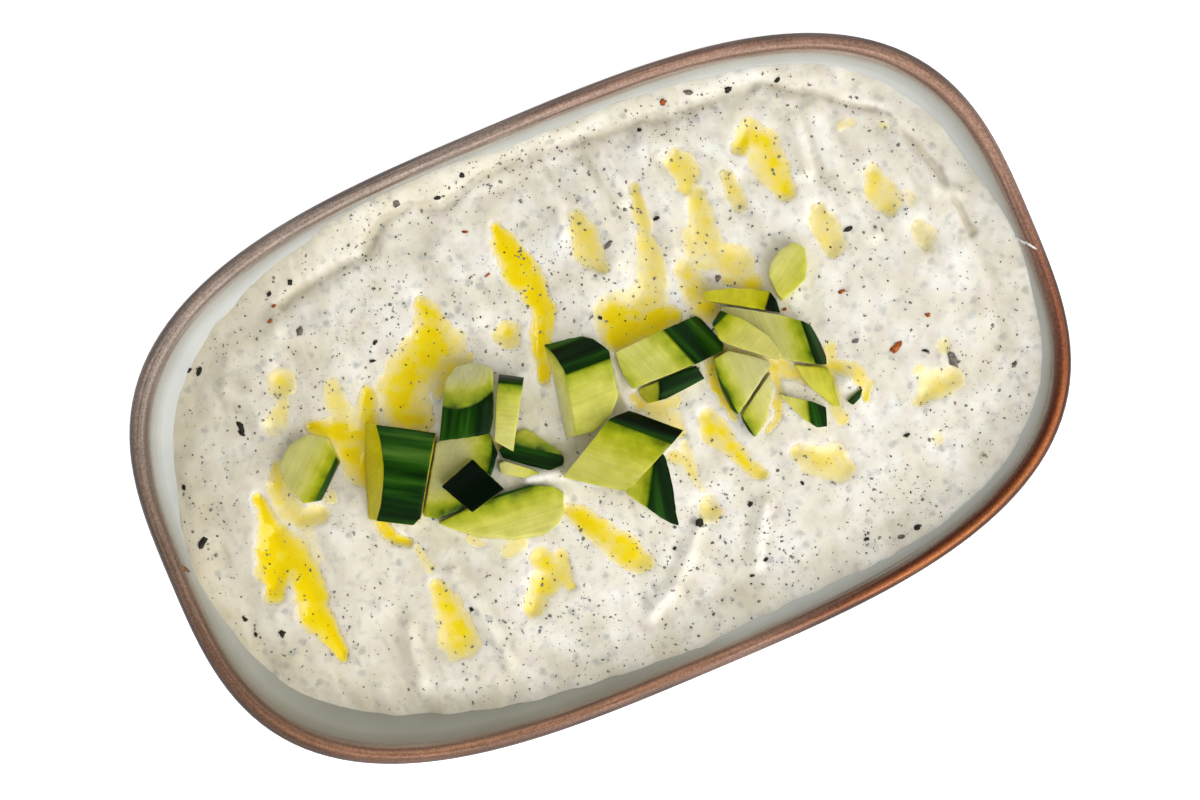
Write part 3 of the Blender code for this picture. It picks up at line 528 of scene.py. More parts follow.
def oil_depth(x, y):
    """How thick the oil lies, below 0 where there is none, with wavering edges."""
    east, north = (shift + drift * y for shift, drift in zip(OIL_SHIFT, OIL_DRIFT))
    wander_x, wander_y = x - east, y - north
    for seed, (reach, size) in enumerate(OIL_WAVER, 21):
        wander_x = wander_x + reach * ripple(x, y, size, seed)
        wander_y = wander_y + reach * ripple(x, y, size, seed + 2)
    depth = np.full(x.shape, -1.0)
    for richness, path in POOLS + FILMS:
        over = (path_nearness(wander_x, wander_y, path) - OIL_RIM) / (1 - OIL_RIM)
        depth = np.maximum(depth, np.where(over > 0, np.sqrt(np.abs(over)) * richness, over))
    return depth * OIL_DEPTH


def dip_surface(x, y, depth):
    """The dip's top as it is seen: the spoon's marks, finer smears, and room for the oil."""
    fine = sum(height * ripple(x + lean * y, y / stretched, size, seed)
               for lean, stretched, size, height, seed in SMEARS)
    fine = fine * (1 - SMOOTH_UNDER_OIL * smoothstep(depth / SMOOTH_FROM))
    return spooned_height(x, y) + fine - np.maximum(depth, 0)


# ---------------- the dish

def dish_profile():
    """Points (inset, height) from the floor up over the lip and down to the foot."""
    inner = [(float(wall_inset(z)), z) for z in np.linspace(FLOOR_TOP + 0.1, WALL_TOP, 26)]
    half = LIP_WIDTH / 2
    lip = [
        (half - half * math.cos(turn), WALL_TOP + LIP_RISE * math.sin(turn))
        for turn in np.linspace(math.pi, 0, 18)[1:-1]
    ]
    outer = [(float(outer_inset(z)), z) for z in np.linspace(WALL_TOP, OUTER_LOW, 22)]
    soft = FOOT_ROUNDING
    foot = [
        (FOOT_OUTER_INSET - 0.9, 1.3), (FOOT_OUTER_INSET - 0.3, 0.5),
        (FOOT_OUTER_INSET + soft - 0.3, 0.0), (FOOT_INNER_INSET - soft, 0.0),
        (FOOT_INNER_INSET, 0.3), (FOOT_INNER_INSET + 1.2, FOOT_RECESS),
    ]
    return [(FLOOR_INSET + 2, FLOOR_TOP)] + inner + lip + outer + foot, 1 + len(inner + lip)


def make_dish():
    """A chain of points is spun into a round dish, whose rings are then pulled oblong."""
    profile, lip_end = dish_profile()
    points = [(0, FLOOR_TOP)] + [(HALF_WIDTH - inset, z) for inset, z in profile]
    points.append((0, FOOT_RECESS))
    dish = start("dish_glazed", bpy.ops.mesh.primitive_plane_add, size=MM)
    edit(True)
    bpy.ops.mesh.merge(type="CENTER")
    bpy.ops.transform.translate(value=(points[0][0] * MM, 0, points[0][1] * MM))
    for before, after in zip(points, points[1:]):
        extrude((after[0] - before[0]) * MM, 0, (after[1] - before[1]) * MM)
    bpy.ops.mesh.select_all(action="SELECT")
    bpy.ops.mesh.spin(steps=DISH_STEPS, angle=math.tau, center=(0, 0, 0), axis=(0, 0, 1))
    bpy.ops.mesh.select_all(action="SELECT")
    bpy.ops.mesh.remove_doubles(threshold=DISH_WELD * MM)
    face_outwards()
    places = corners(dish)
    radius = np.hypot(places[:, 0], places[:, 1])
    angle = np.arctan2(places[:, 1], places[:, 0])
    step = np.abs(radius[:, None] - [p[0] for p in points])
    step = (step + np.abs(places[:, 2][:, None] - [p[1] for p in points])).argmin(axis=1)
    inset = HALF_WIDTH - radius
    note(dish, "across", np.where(step > lip_end, -inset, inset))
    ring = [RING_SIZE * np.cos(angle), RING_SIZE * np.sin(angle), inset]
    note(dish, "ring", np.column_stack(ring))
    off_axis = radius > 1
    half_y = np.where(off_axis, radius, 1)
    oblong = outline_radius(angle, half_y + HALF_LENGTH - HALF_WIDTH, half_y) * off_axis
    places[:, 0], places[:, 1] = oblong * np.cos(angle), oblong * np.sin(angle)
    set_corners(dish, places)
    return finish_piece(dish, "stoneware", "dish")


# ---------------- the dip and its oil

def fit_to_outline(x, y, half_x, half_y):
    """Moves points of a rectangle into the rounded outline, the middle ones least."""
    angle = np.arctan2(y, x)
    to_side = 1 / np.maximum(np.abs(np.cos(angle)) / half_x, np.abs(np.sin(angle)) / half_y)
    share = np.hypot(x, y) / to_side
    factor = 1 + (outline_radius(angle, half_x, half_y) / to_side - 1) * share**4
    return x * factor, y * factor


def hollowness(heights):
    """How far each point of a grid of heights lies below the points around it."""
    around = heights
    for _ in range(HOLLOW_SPREAD):
        wide = np.pad(around, 1, mode="edge")
        around = (wide[2:, 1:-1] + wide[:-2, 1:-1] + wide[1:-1, 2:] + wide[1:-1, :-2]) / 4
    return around - heights


def make_dip():
    """A fine grid fitted to the dish, with sides drawn down to the floor and closed there."""
    dip = start("dip_yoghurt", bpy.ops.mesh.primitive_grid_add,
                x_subdivisions=DIP_CELLS[0], y_subdivisions=DIP_CELLS[1], size=2)
    flat = corners(dip) * MM
    angle = np.arctan2(flat[:, 1] * HALF_WIDTH, flat[:, 0] * HALF_LENGTH)
    rim = np.isclose(np.abs(flat[:, :2]).max(axis=1), 1, atol=1e-6)
    half_x = HALF_LENGTH + DIP_OVERLAP - edge_inset(angle)
    half_y = HALF_WIDTH + DIP_OVERLAP - edge_inset(angle)
    x, y = fit_to_outline(flat[:, 0] * half_x, flat[:, 1] * half_y, half_x, half_y)
    heights = dip_surface(x, y, oil_depth(x, y))
    set_corners(dip, np.column_stack([x, y, heights]))
    # How far each point lies below its neighbours, used for painted shade in the hollows.
    hollow = hollowness(heights.reshape(DIP_CELLS[1] + 1, DIP_CELLS[0] + 1)).ravel()
    for share in DIP_SHARES:
        select_vertices(dip, rim)
        before = len(dip.data.vertices)
        edit(True)
        bpy.ops.mesh.select_mode(type="VERT")
        extrude(0, 0, -MM)
        edit(False)
        places = corners(dip)
        rim = np.arange(len(places)) >= before
        angle = np.arctan2(places[rim, 1], places[rim, 0])
        top = wall_height(edge_inset(angle))
        height = FLOOR_TOP + DIP_GAP + share * (top - FLOOR_TOP)
        inset = wall_inset(height) + DIP_GAP
        radius = to_outline(angle, inset)
        places[rim] = np.column_stack([radius * np.cos(angle), radius * np.sin(angle), height])
        set_corners(dip, places)
    select_vertices(dip, rim)
    edit(True)
    extrude(0, 0, 0)
    bpy.ops.mesh.merge(type="CENTER")
    face_outwards()
    places = corners(dip)
    note(dip, "hollow", np.pad(hollow, (0, len(places) - len(hollow))))
    # Painted shade: darker near the wall, a little more on the left, and over the left end.
    x, y = places[:, 0], places[:, 1]
    to_edge = to_outline(np.arctan2(y, x)) - np.hypot(x, y)
    painted_shade = smoothstep(1 - to_edge / SHADE_BORDER) * (SHADE_MIDDLE - x / SHADE_LEAN)
    note(dip, "painted_shade", painted_shade + SHADE_END * smoothstep((SHADE_END_FROM - x) / SHADE_END_WIDTH))
    return finish_piece(dip, "yoghurt", "dip")


def make_oil():
    """A fine sheet that dives under the dip's surface wherever there is no oil."""
    west, south, east, north = OIL_BOX
    oil = start("oil_pools", bpy.ops.mesh.primitive_grid_add, size=1,
                x_subdivisions=round((east - west) / OIL_CELL),
                y_subdivisions=round((north - south) / OIL_CELL))
    places = corners(oil) * MM
    x = (west + east) / 2 + places[:, 0] * (east - west)
    y = (south + north) / 2 + places[:, 1] * (north - south)
    depth = oil_depth(x, y)
    brim = np.where(depth > 0, depth, depth * OIL_DIVE)
    set_corners(oil, np.column_stack([x, y, dip_surface(x, y, depth) + brim]))
    note(oil, "oil", depth)
    select_vertices(oil, depth < -OIL_SUNK)
    edit(True)
    bpy.ops.mesh.select_mode(type="VERT")
    bpy.ops.mesh.delete(type="VERT")
    edit(False)
    shell = oil.modifiers.new("film", "SOLIDIFY")
    shell.thickness = OIL_FILM * MM
    shell.offset = -1
    bpy.ops.object.modifier_apply(modifier=shell.name)
    oil.visible_shadow = False
    return finish_piece(oil, "olive_oil")


# ---------------- cucumber

def in_fruit(places, lay):
    """Places across and along the whole fruit, in millimetres from its core line."""
    if "core" in lay:
        across, up, along = places[:, 0] - lay["core"][0], places[:, 1] - lay["core"][1], places[:, 2]
    else:
        *point, facing, lean = lay["skin"]
        way, tilt = math.radians(facing), math.radians(lean)
        flat = math.sin(tilt)
        outwards = Vector((flat * math.cos(way), flat * math.sin(way), math.cos(tilt)))
        off = places - np.array(Vector(point) - CUCUMBER_RADIUS * outwards)
        across = off[:, 0] * math.cos(way) + off[:, 1] * math.sin(way)
        along = off[:, 1] * math.cos(way) - off[:, 0] * math.sin(way)
        up = off[:, 2]
    turn = math.radians(lay["turn"])
    return np.column_stack([across * math.cos(turn) - up * math.sin(turn),
                            across * math.sin(turn) + up * math.cos(turn), along])


def make_cucumber(node, lay):
    """A copy of the solid, its knife edges softened, sliced fine and made a little uneven."""
    lay = {**CUCUMBER_USUAL, **lay}
    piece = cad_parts[node].copy()
    piece.data = piece.data.copy()
    piece.name = piece.data.name = node.replace("cucumber", "cucumber_cut")
    link(piece)
    piece.data.materials.clear()
    bpy.ops.object.select_all(action="DESELECT")
    piece.select_set(True)
    bpy.context.view_layer.objects.active = piece
    edit(True)
    bpy.ops.mesh.select_mode(type="EDGE")
    bpy.ops.mesh.select_all(action="SELECT")
    bpy.ops.mesh.remove_doubles(threshold=CUCUMBER_WELD * MM)
    bpy.ops.mesh.dissolve_limited(angle_limit=math.radians(CUCUMBER_FLAT))
    bpy.ops.mesh.select_all(action="DESELECT")
    bpy.ops.mesh.edges_select_sharp(sharpness=math.radians(CUCUMBER_SHARP))
    bpy.ops.mesh.bevel(offset=CUCUMBER_EDGE * MM, segments=2, affect="EDGES", clamp_overlap=True)
    low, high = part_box(node)
    for axis in range(3):
        normal = [float(i == axis) for i in range(3)]
        first = low[axis] + CUCUMBER_FIRST_CUT * MM
        for place in np.arange(first, high[axis], CUCUMBER_CELL * MM):
            bpy.ops.mesh.select_all(action="SELECT")
            bpy.ops.mesh.bisect(plane_co=[place * n for n in normal], plane_no=normal)
    edit(False)
    places = corners(piece)
    fruit = in_fruit(places, lay)
    facing = np.empty(len(places) * 3)
    piece.data.vertices.foreach_get("normal", facing)
    uneven = ripple(fruit[:, 0] * 2, fruit[:, 1] * 2 + fruit[:, 2] / 6, 2.1, 41)
    uneven = uneven + ripple(fruit[:, 0] + fruit[:, 2], fruit[:, 1], 5.5, 42)
    set_corners(piece, places + facing.reshape(-1, 3) * CUCUMBER_UNEVEN * uneven[:, None])
    note(piece, "fruit", fruit)
    looks = (lay["deep"], lay["oiled"], 1 / lay["green"])
    note(piece, "looks", np.tile(looks, (len(places), 1)))
    for name in ("pale", "grey"):
        note(piece, name, np.full(len(places), lay[name]))
    return finish_piece(piece, "cucumber", node)


# ---------------- herbs

def top_height(x, y):
    """The dip, or the oil where it lies on it."""
    depth = oil_depth(x, y)
    return dip_surface(x, y, depth) + np.maximum(depth, 0)


def glaze_height(x, y):
    """The dish's wall and lip, seen from above."""
    inset = to_outline(np.arctan2(y, x)) - np.hypot(x, y)
    across_lip = np.clip(2 * inset / LIP_WIDTH - 1, -1, 1)
    return np.where(inset < LIP_WIDTH, WALL_TOP + LIP_RISE * np.sqrt(1 - across_lip**2),
                    wall_height(inset))


def scatter(name, places, thickness, seed, rounds, ground=top_height):
    """One mesh of many small crumpled flakes that lie on the ground's height: x, y, length,
    width and turn of each."""
    crumb = start(name, bpy.ops.mesh.primitive_ico_sphere_add, subdivisions=rounds, radius=1)
    shape = corners(crumb) * MM
    loops = np.array([face.vertices[:] for face in crumb.data.polygons])
    bpy.data.objects.remove(crumb)
    x, y, length, width, turn = np.array(places, dtype=float).T
    height = ground(x, y)
    slope_x = (ground(x + SLOPE_REACH, y) - height) / SLOPE_REACH
    slope_y = (ground(x, y + SLOPE_REACH) - height) / SLOPE_REACH
    draw = np.random.default_rng(seed)
    crumple = 1 + draw.uniform(-CRUMPLE, CRUMPLE, (len(x), len(shape), 1))
    size = np.column_stack([length, width, np.minimum(thickness, width)]) / 2
    spots = shape * crumple * size[:, None, :]
    cos, sin = np.cos(np.radians(turn))[:, None], np.sin(np.radians(turn))[:, None]
    east, north = spots[..., 0] * cos - spots[..., 1] * sin, spots[..., 0] * sin + spots[..., 1] * cos
    up = spots[..., 2] + east * slope_x[:, None] + north * slope_y[:, None]
    vertices = np.stack([x[:, None] + east, y[:, None] + north, height[:, None] + up], axis=-1)
    triangles = loops + np.arange(len(x))[:, None, None] * len(shape)
    mesh = bpy.data.meshes.new(name)
    mesh.from_pydata(vertices.reshape(-1, 3) * MM, [], triangles.reshape(-1, 3))
    return finish_piece(link(bpy.data.objects.new(name, mesh)), "yoghurt")


def speck_places(count, shortest, longest, draw, cover):
    """Random places on the dip that no cucumber covers, more of them near its border, and small
    specks far more than large."""
    made = []
    while len(made) < count:
        angle, share = draw.uniform(-math.pi, math.pi), draw.uniform(0, 1) ** SPECKS_OUTWARD
        inset = float(edge_inset(np.array(angle))) + SPECK_MARGIN
        radius = share * float(to_outline(angle, inset))
        x, y = radius * math.cos(angle), radius * math.sin(angle)
        length = shortest + (longest - shortest) * draw.uniform(0, 1) ** SPECKS_SMALL
        turn, slim = draw.uniform(0, 180), draw.uniform(*SPECK_SLIM)
        crowd = float(ripple(np.array(x), np.array(y), *SPECK_CROWDS))
        down = cover.ray_cast(Vector((x, y, 60)) * MM, Vector((0, 0, -1)))
        if down[0] is None and crowd > draw.uniform(*SPECK_CHANCE):
            made.append((x, y, length, length * slim, turn))
    return made


# ---------------- materials

def new_material(name):
    material = bpy.data.materials.new(name)
    material.use_nodes = True
    return material, material.node_tree, material.node_tree.nodes["Principled BSDF"]


def feed(tree, node, feeds):
    """Sets a node's inputs, by name or in the order of those in use, each to a value or to the
    socket that feeds it."""
    if isinstance(feeds, dict):
        pairs = [(node.inputs[name], value) for name, value in feeds.items()]
    else:
        pairs = zip([entry for entry in node.inputs if entry.enabled], feeds)
    for entry, value in pairs:
        if isinstance(value, bpy.types.NodeSocket):
            tree.links.new(value, entry)
        else:
            entry.default_value = value


def put(tree, kind, feeds=(), stops=(), take=None, **settings):
    """Adds a node with its settings, what feeds it, and a ramp's places and colours. Returns the
    output that take names, or else the first in use."""
    made = tree.nodes.new("ShaderNode" + kind)
    for name, value in settings.items():
        setattr(made, name, value)
    feed(tree, made, feeds)
    for index, (place, colour) in enumerate(stops):
        spots = made.color_ramp.elements
        spot = spots[index] if index < len(spots) else spots.new(place)
        spot.position = place
        spot.color = linear(colour) if isinstance(colour, str) else (colour, colour, colour, 1)
    return made.outputs[take] if take else next(out for out in made.outputs if out.enabled)


def wear(piece, material):
    piece.data.materials.clear()
    piece.data.materials.append(material)


def millimetres(tree):
    """Object coordinates in millimetres."""
    place = put(tree, "TexCoord", take="Object")
    return put(tree, "VectorMath", (place, 1 / MM), operation="SCALE")


def glazed_stoneware():
    """Stoneware with a reactive glaze: grey where it lies thick, and brown where it ran thin over the
    lip, with fine streaks along the rim. The brown is greyish for the most part, and copper with a
    metallic lustre on the side towards the light. Across the lip the colours hold a pale band that is
    partly a painted highlight and a dark line at the outline that is partly painted shade, and one side
    of the inner wall gets painted shade. The foot is bare and matt."""
    material, tree, shader = new_material("glazed_stoneware")
    across = put(tree, "Attribute", take="Fac", attribute_name="across")
    ring = put(tree, "Attribute", take="Vector", attribute_name="ring")
    place = millimetres(tree)
    drawn = put(tree, "Mapping", {"Vector": ring, "Scale": (0.035, 0.035, 2.2)})
    streaks = put(tree, "TexNoise", (drawn, 1.0, 4.0))
    broad = put(tree, "TexNoise", (place, 1 / 22))
    wander = put(tree, "Math", (streaks, 1.0, across), operation="MULTIPLY_ADD")
    wander = put(tree, "Math", (broad, 1.0, wander), operation="MULTIPLY_ADD")
    share = put(tree, "MapRange", (wander, RIM_LOW + 1, RIM_HIGH + 1))
    # The ramps across the rim: the pale band over the lip is partly a painted highlight, and the dark
    # line at the outline is partly painted shade.
    grey, copper = (
        put(tree, "ValToRGB", (share,), [((mm - RIM_LOW) / (RIM_HIGH - RIM_LOW), tone)
                                         for mm, tone in rim])
        for rim in (GREY_RIM_WITH_HIGHLIGHT, COPPER_RIM_WITH_HIGHLIGHT))

    def towards(degrees, low, high):
        """1 on the side of the dish that faces this way, falling to 0 away from it."""
        way = math.radians(degrees)
        unit = (math.cos(way) / RING_SIZE, math.sin(way) / RING_SIZE, 0)
        faced = put(tree, "VectorMath", (ring, unit), operation="DOT_PRODUCT")
        return put(tree, "MapRange", (faced, low, high), interpolation_type="SMOOTHSTEP")

    on = {"lip": put(tree, "MapRange", (across, LIP_FADE[1], LIP_FADE[0])),
          "wall": put(tree, "MapRange", (across, *LIP_FADE))}
    coppery = towards(*COPPER_SIDE)
    colour = put(tree, "Mix", (coppery, grey, copper), data_type="RGBA")
    # Multiplies in the tints, among them the painted shade on one side of the inner wall.
    for part, side, tint in GLAZE_TINTS_AND_SHADE:
        factor = put(tree, "Math", (towards(*side), on[part]), operation="MULTIPLY")
        colour = put(tree, "Mix", (factor, colour, linear(tint)), data_type="RGBA",
                     blend_type="MULTIPLY")
    lines = put(tree, "MapRange", (streaks, 0.36, 0.64, 0.68, 1.2))
    grains = put(tree, "TexNoise", (place, 1 / 0.45))
    grains = put(tree, "MapRange", (grains, 0.35, 0.65, 0.72, 1.22))
    lines = put(tree, "Math", (lines, grains), operation="MULTIPLY")
    lines = put(tree, "Mix", (on["lip"], 1.0, lines), data_type="FLOAT")
    clouds = put(tree, "TexNoise", (place, 1 / 9, 3.0))
    clouds = put(tree, "MapRange", (clouds, 0, 1, 0.9, 1.1))
    shade = put(tree, "Math", (clouds, lines), operation="MULTIPLY")
    lustre = put(tree, "Math", (on["lip"], coppery), operation="MULTIPLY")
    matt = put(tree, "MapRange", (across, *BARE_FOOT, 0.75, 0.2))
    pits = put(tree, "TexNoise", (place, 1 / 1.4))
    relief = put(tree, "Math", (streaks, 0.6, pits), operation="MULTIPLY_ADD")
    feed(tree, shader, {
        "Base Color": put(tree, "VectorMath", (colour, shade), operation="SCALE"),
        "Metallic": put(tree, "Math", (lustre, COPPER_LUSTRE), operation="MULTIPLY"),
        "Roughness": put(tree, "Math", (on["lip"], 0.18, matt), operation="MULTIPLY_ADD"),
        "Normal": put(tree, "Bump", {"Height": relief, "Strength": 0.25, "Distance": 0.12 * MM}),
        "IOR": 1.5,
    })
    return material


def strained_yoghurt():
    """Thick strained yoghurt with dried mint stirred in: soft, barely shining, with cool clouds where a
    leaf lies just under the surface and specks everywhere. Painted beige shade darkens its hollows, and
    painted shade darkens it near the wall and towards its left end."""
    material, tree, shader = new_material("strained_yoghurt")
    place = millimetres(tree)
    creamy = put(tree, "TexNoise", (place, 1 / 7, 3.0))
    colour = put(tree, "ValToRGB", (creamy,),
                 ((0.3, "#E3DCC7"), (0.5, "#F0EADB"), (0.7, "#FAF6EC")))
    cool = put(tree, "TexNoise", (place, 1 / 2.3, 3.0))
    rosy = put(tree, "TexNoise", (place, 1 / 3.4))
    hollow_shade = put(tree, "Attribute", take="Fac", attribute_name="hollow")
    painted_shade = put(tree, "Attribute", take="Fac", attribute_name="painted_shade")
    warp = put(tree, "TexNoise", (place, 1 / 1.6), take="Color")
    moved = put(tree, "VectorMath", (warp, (1.6, 1.6, 1.6), place), operation="MULTIPLY_ADD")
    leaf = put(tree, "TexVoronoi", (moved, 1 / 3.6))
    patchy = put(tree, "MapRange", (put(tree, "TexNoise", (place, 1 / 5)), 0.42, 0.6))
    cool, rosy, hollow_shade, leaf = (
        put(tree, "MapRange", (value, low, high, 0, most), interpolation_type="SMOOTHSTEP")
        for value, low, high, most in ((cool, 0.52, 0.74, 0.5), (rosy, 0.5, 0.7, 0.3),
                                       (hollow_shade, 0, 0.5, 0.5), (leaf, 0.36, 0.1, 0.5)))
    painted_shade = put(tree, "Math", (painted_shade, 0.5), operation="MULTIPLY")
    leaf = put(tree, "Math", (leaf, patchy), operation="MULTIPLY")
    # Mixes in the cool and rosy clouds, painted shade in the hollows, painted shade near the wall and
    # towards the left end, and the leaves under the surface.
    for factor, tint in ((cool, "#BDBDBA"), (rosy, "#E2D2CC"), (hollow_shade, "#BFB498"),
                         (painted_shade, "#BDB087"), (leaf, "#999A96")):
        colour = put(tree, "Mix", (factor, colour, linear(tint)), data_type="RGBA")
    for size, reach, share in ((2.2, 0.13, 0.65), (1.3, 0.13, 0.5)):
        dots = put(tree, "TexVoronoi", (moved, 1 / size))
        kind = put(tree, "SeparateColor", (dots.node.outputs["Color"],))
        near = put(tree, "Math", (kind, reach, dots), operation="MULTIPLY_ADD")
        dot = put(tree, "MapRange", (near, reach * 1.15, reach * 0.55, 0, share))
        tint = put(tree, "ValToRGB", (kind.node.outputs["Green"],), SPECK_TINTS)
        colour = put(tree, "Mix", (dot, colour, tint), data_type="RGBA")
    curds = put(tree, "TexNoise", (place, 1 / 0.9, 3.0))
    feed(tree, shader, {
        "Base Color": colour,
        "Normal": put(tree, "Bump", {"Height": curds, "Strength": 0.35, "Distance": 0.12 * MM}),
        "Roughness": 0.42,
        "IOR": 1.38,
        "Subsurface Weight": 0.4,
        "Subsurface Radius": (1.0, 0.85, 0.6),
        "Subsurface Scale": 1.0 * MM,
    })
    return material


def olive_oil():
    """Olive oil: clear gold, so a thin film only tints the dip and a deep pool hides it."""
    material, tree, shader = new_material("olive_oil")
    depth = put(tree, "Attribute", take="Fac", attribute_name="oil")
    uneven = put(tree, "TexNoise", (millimetres(tree), 1 / 3.6, 3.0))
    uneven = put(tree, "MapRange", (uneven, 0.3, 0.7, 0.55, 1.3))
    depth = put(tree, "Math", (depth, uneven), operation="MULTIPLY")
    feed(tree, shader, {
        "Base Color": put(tree, "ValToRGB", (depth,), (
            (0, "#FAF0BC"), (0.25, "#FAE98A"), (0.42, "#F8E166"), (0.58, "#F5DC20"),
            (0.75, "#F6D600"))),
        "Alpha": put(tree, "ValToRGB", (depth,), (
            (0, 0.0), (0.06, 0.25), (0.2, 0.55), (0.4, 0.8), (0.6, 1.0))),
        "Roughness": 0.05,
        "IOR": 1.47,
    })
    return material


def fresh_cucumber():
    """Cucumber: watery pale flesh with fibres along the fruit, greener outwards, under a thin
    dark skin with paler stripes, and wet all over."""
    material, tree, shader = new_material("fresh_cucumber")
    fruit = put(tree, "Attribute", take="Vector", attribute_name="fruit")
    looks = put(tree, "Attribute", take="Vector", attribute_name="looks")
    deep, oiled, thin = put(tree, "SeparateXYZ", (looks,)).node.outputs
    flat = put(tree, "VectorMath", (fruit, (1, 1, 0)), operation="MULTIPLY")
    reach = put(tree, "VectorMath", (flat,), operation="LENGTH")
    drawn = put(tree, "Mapping", {"Vector": fruit, "Scale": (1 / 0.6, 1 / 0.6, 1 / 9)})
    fibre = put(tree, "TexNoise", (drawn, 1.0, 3.0))
    cloud = put(tree, "TexNoise", (fruit, 1 / 3.5))
    under = put(tree, "Math", (CUCUMBER_RADIUS, reach), operation="SUBTRACT")
    under = put(tree, "Math", (under, thin), operation="MULTIPLY")
    under = put(tree, "Math", (cloud, FLESH_CLOUD, under), operation="MULTIPLY_ADD")
    share = put(tree, "MapRange", (under, FLESH_CLOUD / 2, FLESH_CLOUD / 2 + FLESH_DEPTH))
    pale, rich = (
        put(tree, "ValToRGB", (share,), [(mm / FLESH_DEPTH, tone) for mm, tone in tones])
        for tones in (PALE_FLESH, RICH_FLESH))
    flesh = put(tree, "Mix", (deep, pale, rich), data_type="RGBA")
    watery = put(tree, "MapRange", (under, *WATERY_CORE), interpolation_type="SMOOTHSTEP")
    grey = put(tree, "Attribute", take="Fac", attribute_name="grey")
    watery = put(tree, "Math", (watery, grey), operation="MULTIPLY")
    golden = put(tree, "Math", (oiled, 0.6), operation="MULTIPLY")
    for factor, tint in ((watery, "#BDBB90"), (golden, "#D6C600")):
        flesh = put(tree, "Mix", (factor, flesh, linear(tint)), data_type="RGBA")
    lines = put(tree, "MapRange", (fibre, 0.3, 0.7, 0.92, 1.06))
    soft = put(tree, "MapRange", (cloud, 0.3, 0.7, 0.9, 1.05))
    lines = put(tree, "Math", (lines, soft), operation="MULTIPLY")
    flesh = put(tree, "VectorMath", (flesh, lines), operation="SCALE")
    striped = put(tree, "Mapping", {"Vector": fruit, "Scale": (0.24, 0.24, 0.02)})
    stripe = put(tree, "TexNoise", (striped, 1.0, 5.0))
    strong = put(tree, "Attribute", take="Fac", attribute_name="pale")
    stripe = put(tree, "Math", (stripe, strong), operation="MULTIPLY")
    skin = put(tree, "ValToRGB", (stripe,), (
        (0.36, "#030E03"), (0.5, "#0E2C06"), (0.6, "#224C0C"), (0.74, "#4C7026")))
    on_skin = put(tree, "MapRange", (reach, CUCUMBER_RADIUS - 0.5, CUCUMBER_RADIUS - 0.25))
    feed(tree, shader, {
        "Base Color": put(tree, "Mix", (on_skin, flesh, skin), data_type="RGBA"),
        "Subsurface Weight": put(tree, "MapRange", (on_skin, 0, 1, 0.35, 0)),
        "Specular IOR Level": put(tree, "MapRange", (on_skin, 0, 1, 0.3, 0.1)),
        "Normal": put(tree, "Bump", {"Height": fibre, "Strength": 0.3, "Distance": 0.15 * MM}),
        "Roughness": 0.3,
        "IOR": 1.36,
        "Subsurface Radius": (0.9, 1.0, 0.35),
        "Subsurface Scale": 1.2 * MM,
    })
    return material


def dried_herb(name, dark, light, roughness=0.6):
    """A dried leaf or pepper flake: matt, with paler veins and breaks."""
    material, tree, shader = new_material(name)
    veins = put(tree, "TexNoise", (millimetres(tree), 1 / 0.7, 3.0))
    feed(tree, shader, {
        "Base Color": put(tree, "ValToRGB", (veins,), ((0.35, dark), (0.7, light))),
        "Normal": put(tree, "Bump", {"Height": veins, "Strength": 0.5, "Distance": 0.1 * MM}),
        "Roughness": roughness,
        "Specular IOR Level": 0.2,
    })
    return material


def plain_paper():
    """The studio's white paper floor, which glows a little so that it stays white."""
    material, tree, shader = new_material("white_paper")
    tooth = put(tree, "TexNoise", (millimetres(tree), 1 / 2))
    feed(tree, shader, {
        "Base Color": put(tree, "ValToRGB", (tooth,), ((0, "#F8F8F9"), (1, "#FDFDFE"))),
        "Roughness": 0.9,
        "Emission Color": (1, 1, 1, 1),
        "Emission Strength": FLOOR_GLOW,
    })
    return material


# ---------------- room, light and camera

def set_stage():
    floor = start("paper_floor", bpy.ops.mesh.primitive_plane_add, size=FLOOR_SIZE * MM)
    wear(floor, plain_paper())
    world = bpy.data.worlds.new("pale_room")
    bpy.context.scene.world = world
    world.use_nodes = True
    tree = world.node_tree
    way = put(tree, "TexCoord", take="Generated")
    up = put(tree, "SeparateXYZ", (way,), take="Z")
    low, high = math.cos(math.radians(CEILING_FROM)), math.cos(math.radians(CEILING_FULL))
    glow = put(tree, "MapRange", (up, low, high, ROOM_BRIGHT, CEILING_BRIGHT),
               interpolation_type="SMOOTHSTEP")
    feed(tree, tree.nodes["Background"], {"Color": linear("#FAFCFF"), "Strength": glow})
    box = bpy.data.lights.new("soft_box", "AREA")
    box.shape = "SQUARE"
    box.size = LIGHT_SIZE * MM
    box.energy = LIGHT_WATTS
    lamp = link(bpy.data.objects.new("soft_box", box))
    rise = math.radians(LIGHT_RISE)
    flat = Vector(LIGHT_WAY).normalized() * math.cos(rise)
    way = Vector((flat.x, flat.y, math.sin(rise)))
    lamp.location = way * LIGHT_DISTANCE * MM
    lamp.rotation_euler = way.to_track_quat("Z", "Y").to_euler()


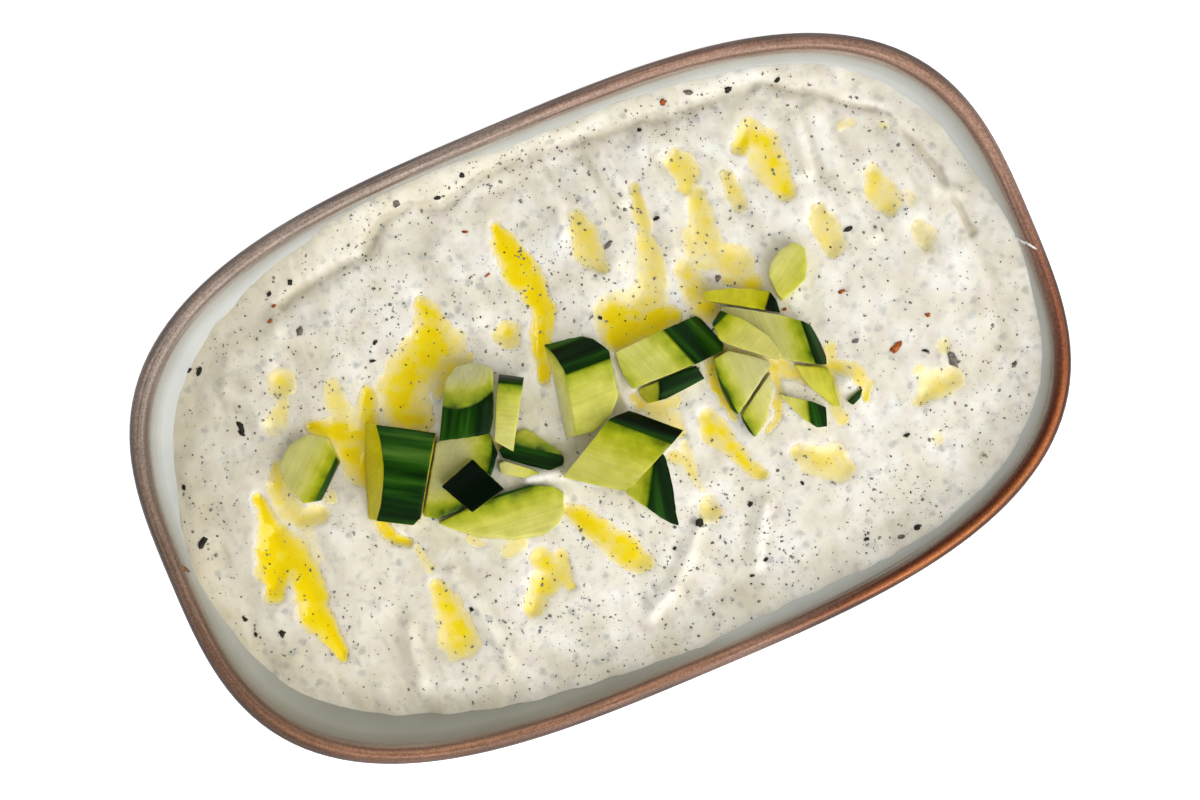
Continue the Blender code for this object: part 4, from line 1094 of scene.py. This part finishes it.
def set_camera():
    """Straight above, as high as makes the rim's plane as wide as the photo shows it."""
    turn = math.radians(DISH_TURN)
    right = Vector((math.cos(turn), -math.sin(turn)))
    up = Vector((math.sin(turn), math.cos(turn)))
    aside = (PHOTO_WIDTH / 2 - DISH_MIDDLE[0]) * MM_PER_PIXEL
    above = (DISH_MIDDLE[1] - PHOTO_HEIGHT / 2) * MM_PER_PIXEL
    middle = right * aside + up * above
    height = PHOTO_WIDTH * MM_PER_PIXEL * LENS / SENSOR + DISH_HEIGHT
    data = bpy.data.cameras.new("camera")
    data.lens = LENS
    data.sensor_width = SENSOR
    data.clip_start = 0.01
    camera = link(bpy.data.objects.new("camera", data))
    camera.location = Vector((middle.x, middle.y, height)) * MM
    camera.rotation_euler = (0, 0, -turn)
    bpy.context.scene.camera = camera


def main():
    set_camera()
    set_stage()
    bpy.context.scene.view_settings.view_transform = "Standard"
    wear(make_dish(), glazed_stoneware())
    yoghurt = strained_yoghurt()
    wear(make_dip(), yoghurt)
    wear(make_oil(), olive_oil())
    flesh = fresh_cucumber()
    points, faces = [], []
    for number, lay in CUCUMBERS.items():
        piece = make_cucumber(f"cucumber_{number:02d}", lay)
        wear(piece, flesh)
        count = len(points)
        points += [vertex.co.copy() for vertex in piece.data.vertices]
        faces += [[count + i for i in face.vertices] for face in piece.data.polygons]
    cover = BVHTree.FromPolygons(points, faces)
    mint = dried_herb("dried_mint", "#171510", "#39352B")
    olive = dried_herb("mint_leaf", "#67665A", "#A2A192")
    brown = dried_herb("herb_stalk", "#5A3E2A", "#94704A")
    pepper = dried_herb("dried_pepper", "#7C2E10", "#C8702A", 0.35)
    husk = dried_herb("grey_husk", "#5A4F4A", "#8A8078")
    draw = np.random.default_rng(SPECK_SEED)
    for (name, count, shortest, longest), herb in zip(SPECK_KINDS, (mint, olive, brown)):
        places = speck_places(count, shortest, longest, draw, cover)
        wear(scatter(name, places, SPECK_THICKNESS, len(name), 1), herb)
    kinds = (("flakes_dark", DARK_FLAKES, mint), ("flakes_grey", GREY_FLAKES, husk),
             ("flakes_pepper", CHILLI_FLAKES, pepper))
    for seed, (name, places, herb) in enumerate(kinds, 1):
        wear(scatter(name, places, FLAKE_THICKNESS, seed, 2), herb)
    wear(scatter("wall_flake", WALL_FLAKE, FLAKE_THICKNESS, 4, 2, glaze_height), brown)
    wear(scatter("lip_smear", LIP_SMEAR, FLAKE_THICKNESS, 5, 3, glaze_height), yoghurt)


main()
